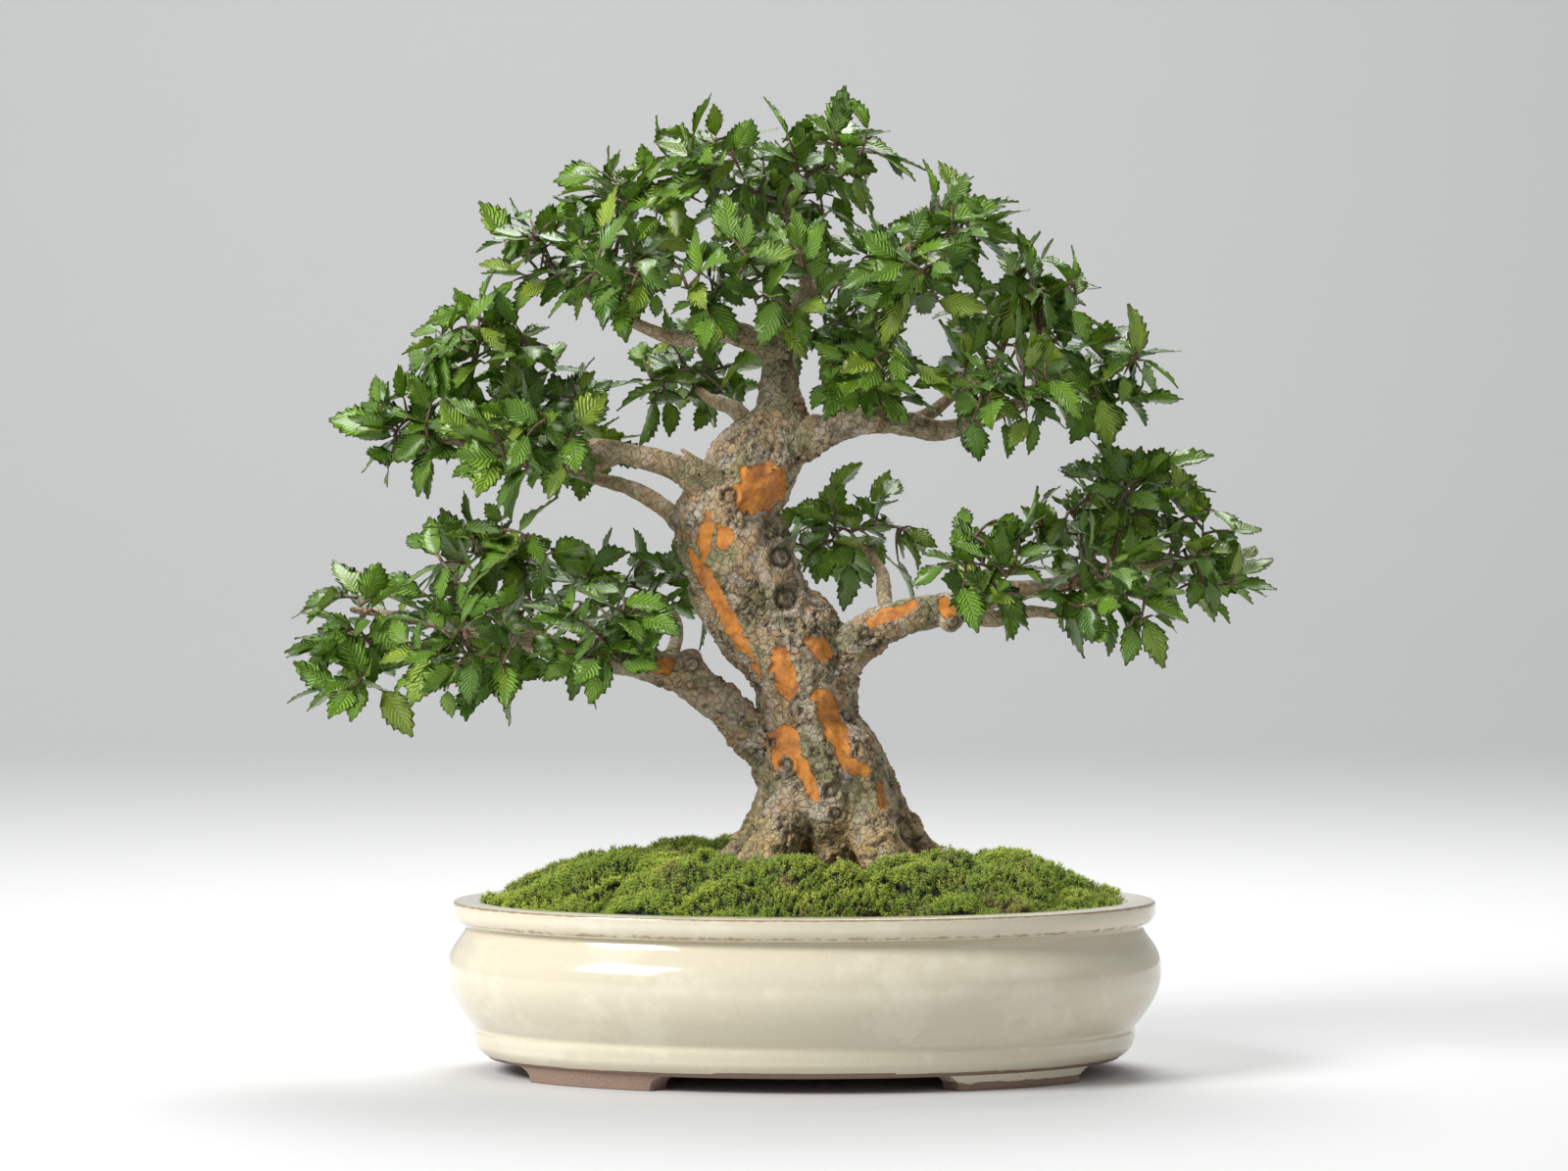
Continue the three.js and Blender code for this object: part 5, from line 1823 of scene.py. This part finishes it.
@dataclass
class Foliage:
    """All the leafy shoots."""

    shoots: tuple[Shoot, ...]
    limbs: tuple[Stem, ...]
    leaf: LeafShape = field(default_factory=LeafShape)
    variants: int = 10
    twigs: int = 23
    openness: float = 1.02
    margin: float = 12.0
    spine_radius: tuple[float, float] = (1.5, 0.8)
    twig_radius: tuple[float, float] = (0.85, 0.4)
    leaf_gap: float = 6.0
    leaves: tuple[int, int] = (2, 5)
    leaf_angle: tuple[float, float] = (40.0, 85.0)
    leaf_size: tuple[float, float] = (0.7, 1.08)
    seed: int = 21

    def build(self, layout: Layout, effects: Effects) -> None:
        """Builds every shoot and hands it to the frame.

        Args:
            layout: Places it in the frame.
            effects: The shared effects.
        """
        rng = np.random.default_rng(self.seed)
        leaves = [self.leaf.build(rng) for _ in range(self.variants)]
        materials = [LeafBlade().build(effects), Twig().build(effects)]
        low, high = layout.whole()
        limits = low - self.margin, high + self.margin
        for shoot in self.shoots:
            self.build_shoot(shoot, leaves, materials, layout, rng, limits)

    def twig_lines(self, shoot: Shoot, rng: Generator) -> list[Array]:
        """Draws a shoot's spine and the twigs that spread from it.

        Args:
            shoot: The shoot.
            rng: Draws its small differences.

        Returns:
            Lines of places with a radius at each, the spine first.
        """
        start = self.limbs[shoot.limb].at(shoot.share)
        centre, reach = np.array(shoot.centre, float), np.array(shoot.reach, float)
        t = np.linspace(0, 1, 9)[:, None]
        belly = (start + centre) / 2 + [0, 0, -0.08 * np.linalg.norm(centre - start)]
        spine = (1 - t) ** 2 * start + 2 * t * (1 - t) * belly + t**2 * centre
        lines = [np.column_stack([spine, np.linspace(*self.spine_radius, len(t))])]
        nodes = [spine[3:]]
        tips = self.spread(centre, reach * self.openness, rng)
        for tip in tips[np.linalg.norm((tips - centre) / reach, axis=1).argsort()]:
            known = np.concatenate(nodes)
            apart = np.linalg.norm(known - tip, axis=1)
            root = known[(apart + 60 * (apart < 9)).argmin()]
            length = float(np.linalg.norm(tip - root))
            middle = (root + tip) / 2 + [0, 0, 0.14 * length] + rng.normal(0, 0.07 * length, 3)
            t = np.linspace(0, 1, 7)[:, None]
            line = (1 - t) ** 2 * root + 2 * t * (1 - t) * middle + t**2 * tip
            lines.append(np.column_stack([line, np.linspace(*self.twig_radius, len(t))]))
            nodes.append(line[2:6])
        return lines

    def spread(self, centre: Array, reach: Array, rng: Generator) -> Array:
        """Spreads the ends of twigs evenly through a clump, fewer of them below.

        Args:
            centre: Middle of the clump.
            reach: Its half-size each way.
            rng: Draws the places.

        Returns:
            The ends, one row each.
        """
        drawn = rng.uniform(-1, 1, (600, 3))
        away = np.linalg.norm(drawn, axis=1)
        drawn = drawn[(away < 1) & (away > 0.3) & (drawn[:, 2] > -0.75)]
        chosen = [drawn[0]]
        while len(chosen) < self.twigs:
            gaps = np.linalg.norm(drawn[:, None] - np.array(chosen)[None], axis=2).min(axis=1)
            chosen.append(drawn[gaps.argmax()])
        return centre + reach * np.array(chosen) * rng.uniform(0.82, 1.0, (self.twigs, 1))

    def leaf_rows(self, shoot: Shoot, lines: Sequence[Array], rng: Generator) -> Array:
        """Sets leaves alternately along the twigs.

        Args:
            shoot: The shoot.
            lines: Its spine and twigs.
            rng: Draws their small differences.

        Returns:
            Rows of the leaf's foot, the way it points, the way it faces and its size.
        """
        centre = np.array(shoot.centre, float)
        from_tree = unit((centre * [1, 1, 0])[None])[0]
        rows = []
        for line in lines[1:]:
            length = float(np.linalg.norm(line[-1, :3] - line[0, :3]))
            count = int(np.clip(round(length / self.leaf_gap), *self.leaves))
            for j in range(count):
                last = j == count - 1
                share = 1.0 if last else 0.25 + 0.7 * (j + rng.uniform(0, 0.6)) / count
                at = min(share, 0.999) * (len(line) - 1)
                low = int(at)
                foot = line[low, :3] + (line[low + 1, :3] - line[low, :3]) * (at - low)
                forward = unit((line[low + 1, :3] - line[low, :3])[None])[0]
                out = unit((foot - centre)[None] / np.array(shoot.reach))[0]
                face = np.array([0, -0.2, 0.75]) + 0.35 * (out + from_tree)
                face = face + rng.normal(0, 0.42, 3)
                side = unit(np.cross(face, forward)[None])[0] * (1 if j % 2 else -1)
                angle = 0.3 * rng.normal() if last else math.radians(rng.uniform(*self.leaf_angle))
                way = forward * math.cos(angle) + side * math.sin(angle) + 0.35 * rng.normal(0, 0.6, 3)
                way = way + [0, 0, rng.normal(-0.02, 0.36)] + 0.2 * from_tree
                size = rng.uniform(*self.leaf_size) * (0.75 if last and rng.uniform() < 0.4 else 1)
                rows.append(np.concatenate([foot, unit(way[None])[0], unit(face[None])[0], [size]]))
        return np.array(rows)

    def build_shoot(
        self,
        shoot: Shoot,
        leaves: Sequence[tuple[Array, Array, dict[str, Array]]],
        materials: Sequence[Material],
        layout: Layout,
        rng: Generator,
        limits: tuple[Array, Array],
    ) -> None:
        """Builds one shoot: its twigs and its leaves, joined.

        Args:
            shoot: The shoot.
            leaves: The kinds of leaf, each its vertices, its faces and its vertices' numbers.
            materials: The leaf's and the twig's.
            layout: Places the shoot.
            rng: Draws the leaves' kinds, places and tints.
            limits: Lowest and highest corner that a leaf's tip may reach.
        """
        lines = self.twig_lines(shoot, rng)
        rows = self.leaf_rows(shoot, lines, rng)
        tips = rows[:, :3] + rows[:, 3:6] * rows[:, 9:] * self.leaf.length
        rows = rows[((tips > limits[0]) & (tips < limits[1])).all(axis=1)]
        way, face = rows[:, 3:6], rows[:, 6:9]
        side = unit(np.cross(face, way))
        turns = np.stack([way, side, np.cross(way, side)], axis=-1) * rows[:, 9][:, None, None]
        tint = rng.normal(0.45, 0.2, len(rows))
        tint = np.clip(tint + 0.35 * (rng.uniform(size=len(rows)) < 0.2), 0, 1)
        kind = rng.integers(0, len(leaves), len(rows))
        stamped = Stamped()
        for number, (places, faces, own) in enumerate(leaves):
            chosen = kind == number
            if chosen.any():
                feet = rows[chosen, :3] + way[chosen] * self.leaf.stalk * 0.8
                stamped.add_copies((places, faces), turns[chosen], feet, own, {"tint": tint[chosen]})
        piece = stamped.piece("leaves_" + shoot.name, layout)
        twigs = Stamped()
        for line in lines:
            twigs.add(*self.tube(line))
        wood = twigs.piece("twigs_" + shoot.name, layout)
        piece.data.materials.append(materials[0])
        wood.data.materials.append(materials[1])
        join_into(piece, wood)
        finish_piece(piece, (), "foliage", "shoot_" + shoot.name)

    @staticmethod
    def tube(line: Array, sides: int = 6) -> tuple[Array, Array]:
        """Sweeps a closed tube along a line of places with a radius at each.

        Args:
            line: Rows of x, y, z and radius.
            sides: Sides of the tube.

        Returns:
            Its vertices and its faces.
        """
        ahead = unit(np.gradient(line[:, :3], axis=0))
        helper = np.array([0.0, 1.0, 0.0]) if abs(ahead[0, 1]) < 0.8 else np.array([1.0, 0.0, 0.0])
        side = unit(np.cross(ahead, helper))
        other = np.cross(ahead, side)
        spin = np.arange(sides) * 2 * math.pi / sides
        cos, sin = np.cos(spin)[None, :, None], np.sin(spin)[None, :, None]
        ring = side[:, None] * cos + other[:, None] * sin
        places = (line[:, None, :3] + ring * line[:, None, 3:4]).reshape(-1, 3)
        places = np.vstack([places, line[0, :3], line[-1, :3]])
        count, faces = len(line), []
        last = (count - 1) * sides
        for j in range(sides):
            k = (j + 1) % sides
            faces += [(i + j, i + k, i + sides + k, i + sides + j) for i in range(0, last, sides)]
            faces += [(count * sides, k, j, -1), (count * sides + 1, last + j, last + k, -1)]
        return places, np.array(faces)


# ---- The tree's own shape ----

STEMS = (
    # the trunk, and its six surface roots
    Stem("trunk", (
        (15, 6, 70, 17), (14, 5, 92, 22), (13, 3, 108, 26), (11, 0, 126, 29.5), (4, 0, 143, 28),
        (1, 0, 157, 22), (1, 0, 173, 23), (-4, 0, 188, 25), (-17, 1, 202, 23), (-25, 1, 217, 25),
        (-30, 2, 232, 24), (-35, 2, 246, 23), (-30, 1, 260, 20), (-21, 0, 273, 20),
        (-13, 0, 286, 16), (-11, 1, 302, 10), (-12, 1, 320, 7), (-10, 0, 331, 6), (-7, -1, 340, 5),
    )),
    Stem("trunk", (
        (-1, -2, 128, 18), (-10, -5, 112, 15), (-21, -9, 100, 11.5), (-34, -12, 91, 8),
        (-50, -15, 78, 4.5),
    )),
    Stem("trunk", (
        (-2, -9, 126, 15), (-9, -18, 111, 12.5), (-14, -27, 99, 9.5), (-18, -36, 89, 7),
        (-23, -48, 76, 4),
    )),
    Stem("trunk", (
        (22, -9, 127, 15), (28, -17, 113, 12.5), (33, -26, 101, 10), (37, -35, 90, 8),
        (43, -47, 75, 4.5),
    )),
    Stem("trunk", (
        (26, 0, 126, 15), (38, 1, 111, 12), (50, 3, 99, 9), (62, 6, 90, 6.5), (76, 9, 74, 3.5),
    )),
    Stem("trunk", (
        (8, 10, 126, 17), (6, 18, 112, 14), (3, 30, 100, 10), (0, 43, 88, 7), (-4, 58, 73, 4),
    )),
    Stem("trunk", (
        (24, 8, 124, 15), (30, 14, 111, 12), (38, 25, 99, 8.5), (48, 35, 89, 6), (57, 47, 74, 3.5),
    )),
    # the limbs, each with its forks
    Stem("limb_lower_left", (
        (-4, -4, 136, 11), (-20, -8, 148, 10.5), (-36, -12, 164, 9), (-51, -15, 176, 8.5),
        (-67, -16, 181, 7), (-84, -14, 184, 6), (-105, -10, 189, 5), (-128, -6, 195, 4),
        (-155, -4, 199, 3), (-182, -2, 204, 2.2), (-204, 0, 207, 1.5),
    )),
    Stem("limb_lower_left", (
        (-62, -16, 180, 5), (-73, -12, 189, 4), (-98, -2, 186, 3), (-124, 12, 190, 2.4),
        (-146, 26, 198, 1.6),
    )),
    Stem("limb_back_left", (
        (-57, -10, 176, 4), (-60, 6, 184, 3.6), (-58, 24, 192, 3), (-58, 44, 201, 2.4),
        (-66, 66, 210, 1.6),
    )),
    Stem("limb_lower_right", (
        (3, 0, 177, 12), (16, -6, 187, 11), (28, -10, 195, 9.5), (40, -12, 202, 8.5),
        (54, -13, 206, 7.5), (71, -12, 210, 6.5), (87, -10, 214, 5.5), (106, -8, 217, 4),
        (125, -6, 220, 3.2), (145, -2, 225, 2.4), (166, 0, 229, 1.6),
    )),
    Stem("limb_lower_right", (
        (66, -12, 208, 5), (84, -6, 203, 4), (102, 2, 206, 3), (122, 10, 204, 2.2),
        (142, 14, 208, 1.5),
    )),
    Stem("limb_back_right", (
        (38, -8, 203, 4), (36, 8, 212, 3.6), (36, 28, 221, 3), (32, 50, 229, 2.4),
        (26, 72, 236, 1.6),
    )),
    Stem("limb_middle_left", (
        (-30, -2, 255, 8), (-45, -9, 263, 7), (-56, -14, 270, 6), (-72, -18, 275, 5),
        (-91, -18, 279, 4.4), (-114, -12, 277, 3.6), (-137, -8, 279, 2.8), (-160, -4, 283, 2),
        (-178, 0, 287, 1.5),
    )),
    Stem("limb_rear_left", (
        (-34, 4, 238, 6), (-52, 12, 243, 5), (-64, 20, 253, 4.4), (-78, 32, 261, 3.8),
        (-95, 46, 266, 3), (-113, 62, 271, 2.2), (-126, 78, 276, 1.5),
    )),
    Stem("limb_upper_back", (
        (-20, 2, 284, 5), (-30, 14, 296, 4), (-38, 30, 300, 3.4), (-44, 48, 303, 2.6),
        (-50, 66, 308, 1.6),
    )),
    Stem("limb_upper_right", (
        (-16, 0, 274, 10), (0, -6, 282, 9), (15, -10, 289, 7.5), (30, -12, 292, 6.5),
        (47, -12, 290, 5.5), (62, -10, 287, 4.6), (79, -8, 292, 3.6), (97, -4, 300, 2.8),
        (116, 0, 307, 2), (132, 2, 311, 1.5),
    )),
    Stem("limb_upper_right", (
        (47, -11, 290, 4), (58, 0, 296, 3), (68, 14, 304, 2.4), (80, 30, 314, 1.8),
        (90, 44, 322, 1.4),
    )),
    Stem("limb_crown_left", (
        (-11, 0, 320, 6), (-23, -6, 328, 5.4), (-37, -10, 331, 4.6), (-54, -12, 328, 3.8),
        (-69, -12, 332, 3), (-84, -8, 340, 2.4), (-97, -4, 348, 1.9), (-110, 0, 356, 1.5),
    )),
    Stem("limb_crown_right", (
        (-9, -1, 335, 5), (-3, -5, 344, 4.6), (8, -8, 352, 3.8), (22, -8, 357, 3),
        (39, -6, 365, 2.2), (55, 0, 373, 1.5),
    )),
    Stem("limb_crown_right", (
        (2, -7, 348, 3.4), (-1, -6, 362, 2.8), (-5, -4, 378, 2.2), (-10, -2, 394, 1.5),
    )),
    Stem("limb_rear", (
        (-11, 3, 304, 5), (-10, 20, 312, 3.8), (-7, 42, 320, 3), (-2, 64, 327, 2.2),
        (6, 88, 334, 1.5),
    )),
    # smaller roots, the stubs of old limbs, and dead spurs
    Stem("trunk", ((-16, -24, 104, 7), (-27, -29, 93, 5.5), (-38, -33, 82, 3.5))),
    Stem("trunk", ((34, -22, 104, 7), (46, -27, 93, 5.5), (57, -33, 80, 3.2))),
    Stem("trunk", ((-12, 6, 112, 10), (-27, 14, 98, 7), (-42, 20, 84, 4))),
    Stem("limb_lower_left", ((-49, -15, 175, 7), (-51, -19, 183, 6), (-51, -22, 188, 4.6))),
    Stem("limb_lower_right", ((62, -13, 206, 5.5), (65, -18, 203, 5), (67, -21, 201, 4))),
    Stem("trunk", ((-33, -8, 262, 8), (-41, -15, 268, 4), (-49, -20, 274, 2), (-55, -22, 279, 1))),
    Stem("limb_middle_left", ((-80, -18, 277, 3.6), (-90, -24, 271, 2.4), (-101, -28, 268, 1.2))),
)
SHOOTS = (
    Shoot("lower_left_tip", 7, 0.97, (-202, 0, 191), (24, 24, 30)),
    Shoot("lower_left_front", 7, 0.76, (-147, -40, 188), (32, 26, 26)),
    Shoot("lower_left_back", 8, 0.92, (-152, 40, 206), (34, 26, 22)),
    Shoot("lower_left_top", 7, 0.84, (-140, 2, 231), (30, 26, 20)),
    Shoot("lower_left_inner", 7, 0.5, (-90, -38, 196), (28, 22, 22)),
    Shoot("back_left", 9, 0.95, (-76, 76, 215), (34, 26, 20)),
    Shoot("middle_left_tip", 13, 0.97, (-174, 0, 288), (22, 24, 20)),
    Shoot("middle_left_front", 13, 0.72, (-126, -38, 282), (30, 26, 20)),
    Shoot("middle_left_back", 13, 0.66, (-124, 32, 300), (32, 24, 18)),
    Shoot("middle_left_top", 13, 0.86, (-146, 3, 326), (28, 24, 18)),
    Shoot("rear_left", 14, 0.95, (-119, 94, 282), (36, 26, 20)),
    Shoot("upper_back", 15, 0.95, (-53, 76, 314), (26, 24, 18)),
    Shoot("crown_left_tip", 18, 0.97, (-116, 0, 366), (22, 24, 20)),
    Shoot("crown_left_front", 18, 0.7, (-82, -40, 357), (26, 24, 20)),
    Shoot("crown_left_back", 18, 0.78, (-82, 32, 386), (28, 26, 24)),
    Shoot("apex_left", 20, 0.9, (-42, -10, 403), (26, 26, 20)),
    Shoot("apex_right", 20, 0.98, (12, 0, 411), (28, 26, 18)),
    Shoot("apex_front", 20, 0.5, (-24, -50, 352), (36, 26, 26)),
    Shoot("apex_back", 20, 0.7, (-10, 52, 392), (28, 26, 22)),
    Shoot("crown_right_tip", 19, 0.98, (66, 2, 376), (18, 24, 20)),
    Shoot("crown_right_front", 19, 0.6, (44, -44, 356), (24, 22, 18)),
    Shoot("rear", 21, 0.95, (16, 98, 338), (34, 26, 22)),
    Shoot("upper_right_tip", 16, 0.97, (138, 2, 312), (20, 24, 22)),
    Shoot("upper_right_top", 16, 0.82, (106, -2, 346), (22, 22, 18)),
    Shoot("upper_right_front", 16, 0.68, (88, -42, 305), (28, 24, 20)),
    Shoot("upper_right_back", 17, 0.96, (94, 54, 332), (30, 24, 22)),
    Shoot("upper_right_inner", 16, 0.36, (30, -42, 313), (22, 20, 18)),
    Shoot("lower_right_tip", 10, 0.97, (178, 2, 230), (20, 24, 28)),
    Shoot("lower_right_top", 10, 0.82, (146, 6, 259), (26, 24, 18)),
    Shoot("lower_right_front", 10, 0.74, (134, -40, 214), (28, 24, 22)),
    Shoot("lower_right_back", 11, 0.9, (126, 52, 240), (30, 26, 22)),
    Shoot("lower_right_inner", 10, 0.52, (82, -42, 226), (22, 20, 24)),
    Shoot("back_right", 12, 0.95, (22, 84, 241), (34, 24, 22)),
)
PEELED = (
    Patch(-8.4, 150, 6.6, 6.6),
    Patch(0.4, 134, 3.4, 13, -0.42),
    Patch(-12.6, 142, 2.6, 5),
    Patch(11.5, 160, 5.6, 17, -0.42),
    Patch(22, 138, 3.8, 10, -0.85),
    Patch(34, 124, 2.4, 6, -0.3),
    Patch(-9.6, 180, 5.2, 13, -0.3),
    Patch(7.5, 190, 8.4, 5, 0.55),
    Patch(-37, 209, 3.4, 33, -0.5),
    Patch(-20, 262, 12, 11),
    Patch(-36, 240, 4.5, 5.5),
    Patch(39, 206, 12, 3.2, -0.4),
    Patch(63, 208, 4.5, 5),
    Patch(-63, 182, 5.5, 4),
    Patch(-44, 240, 3, 12, 0.1),
)
KNOTS = (
    Patch(-50, 183, 5.5, 5),
    Patch(28, 196, 4.6, 4.6),
    Patch(66, 202, 4.5, 4.5),
    Patch(-29, 330, 4, 4),
    Patch(-8, 213, 7, 8),
    Patch(-10, 231, 7.5, 7),
    Patch(-8, 138, 4.2, 4.4),
    Patch(5, 144, 3.2, 3),
    Patch(12, 127, 4.6, 4.4),
    Patch(14, 117, 3.8, 3.4),
    Patch(-14, 148, 2.4, 3),
    Patch(-33, 258, 5, 5),
)


# ---- Stage ----


class LightKind(Enum):
    """What a softbox is for."""

    KEY = "key"
    FILL = "fill"
    TOP = "top"
    WALL = "wall"


@dataclass(frozen=True)
class Softbox:
    """One square area light: place and aim in metres, power in watts."""

    kind: LightKind
    place: tuple[float, float, float]
    power: float
    size: float
    aim: tuple[float, float, float] = (0.0, 0.0, 0.2)

    def build(self) -> None:
        """Adds the light."""
        deselect_all()
        bpy.ops.object.light_add(type="AREA", location=self.place)
        lamp = bpy.context.object
        lamp.name = lamp.data.name = "softbox_" + self.kind.value
        lamp.data.shape = "SQUARE"
        lamp.data.size = self.size
        lamp.data.energy = self.power
        toward = Vector(self.aim) - Vector(self.place)
        lamp.rotation_euler = toward.to_track_quat("-Z", "Y").to_euler()


@dataclass
class Stage:
    """Pale sweep, soft lights and the camera; the sweep's sizes are in metres."""

    width: float = 14.0
    run: tuple[float, float] = (-4.5, 8.5)
    bend_start: float = 3.0
    bend_radius: float = 1.2
    sky: Colour = (0.94, 0.97, 1.0, 1.0)
    sky_strength: float = 0.33
    camera_place: tuple[float, float, float] = (-9.0, -2400.0, 258.8)
    camera_dip: float = 0.981
    lens: float = 122.85
    sensor: float = 36.0
    lights: tuple[Softbox, ...] = (
        Softbox(LightKind.KEY, (-1.55, -1.15, 1.5), 60.0, 0.9),
        Softbox(LightKind.FILL, (1.7, -0.9, 0.9), 2.0, 1.2),
        Softbox(LightKind.TOP, (0.2, 0.9, 1.7), 26.0, 1.0),
        Softbox(LightKind.WALL, (-0.4, 1.9, 3.2), 52.0, 2.4, (0.0, 4.3, 0.9)),
    )

    def build(self, layout: Layout, effects: Effects) -> None:
        """Builds the sweep, the lights and the camera.

        Args:
            layout: Places it in the frame.
            effects: The shared effects.
        """
        self.build_sweep(effects)
        for light in self.lights:
            light.build()
        world = bpy.data.worlds.new("studio")
        bpy.context.scene.world = world
        world.use_nodes = True
        NodeSheet(world.node_tree).feed(
            world.node_tree.nodes["Background"], {"Color": self.sky, "Strength": self.sky_strength}
        )
        bpy.ops.object.camera_add(location=layout.metres(np.array(self.camera_place)))
        camera = bpy.context.object
        camera.name = "front_camera"
        camera.rotation_euler = (math.radians(90 - self.camera_dip), 0.0, 0.0)
        camera.data.lens = self.lens
        camera.data.sensor_width = self.sensor
        bpy.context.scene.camera = camera
        bpy.context.scene.view_settings.view_transform = "Standard"

    def build_sweep(self, effects: Effects) -> None:
        """Builds the floor and the wall behind it as one curved sheet.

        Args:
            effects: The shared effects.
        """
        deselect_all()
        bpy.ops.mesh.primitive_grid_add(x_subdivisions=2, y_subdivisions=60, size=1.0)
        sweep = bpy.context.object
        sweep.name = "paper_sweep"
        flat = vertex_places(sweep)
        run = self.run[0] + (flat[:, 1] + 0.5) * (self.run[1] - self.run[0])
        angle = np.clip((run - self.bend_start) / self.bend_radius, 0, math.pi / 2)
        past = np.maximum(run - self.bend_start - self.bend_radius * math.pi / 2, 0)
        y = np.minimum(run, self.bend_start) + self.bend_radius * np.sin(angle)
        z = self.bend_radius * (1 - np.cos(angle)) + past
        set_vertex_places(sweep, np.column_stack([flat[:, 0] * self.width, y, z]))
        bpy.ops.object.shade_smooth()
        sweep.data.materials.append(Paper().build(effects))
        sweep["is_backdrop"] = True


def dress_fittings(effects: Effects) -> None:
    """Gives the parts that are kept as they were drawn their materials.

    Args:
        effects: The shared effects.
    """
    mesh = Fitting("black_mesh", (0.015, 0.015, 0.016, 1.0), 0.5, 0.0).build(effects)
    metal = Fitting("aluminium_wire", (0.55, 0.42, 0.3, 1.0), 0.35, 1.0).build(effects)
    grit = Grains("pale_grit", (0.1, 0.08, 0.06, 1.0), (0.42, 0.36, 0.28, 1.0), 0.005).build(effects)
    dressed = {"drainage_layer": grit}
    for side in ("left", "right"):
        dressed |= {"drain_screen_" + side: mesh, "screen_wire_" + side: metal}
    for name, material in dressed.items():
        node = bpy.data.objects[name]
        node.data.materials.clear()
        node.data.materials.append(material)


def main() -> None:
    """Builds the bonsai and its stage."""
    logging.basicConfig(level=logging.INFO, format="%(message)s")
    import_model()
    deselect_all()
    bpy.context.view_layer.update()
    layout = Layout()
    effects = Effects()
    ground = Ground()
    wood = Wood(STEMS, PEELED, KNOTS)
    Pot().build(layout, effects)
    Soil(ground).build(layout, effects)
    MossBed(ground).build(layout, effects, wood)
    wood.build(layout, effects)
    Foliage(SHOOTS, STEMS).build(layout, effects)
    dress_fittings(effects)
    Stage().build(layout, effects)


if __name__ == "__main__":
    main()
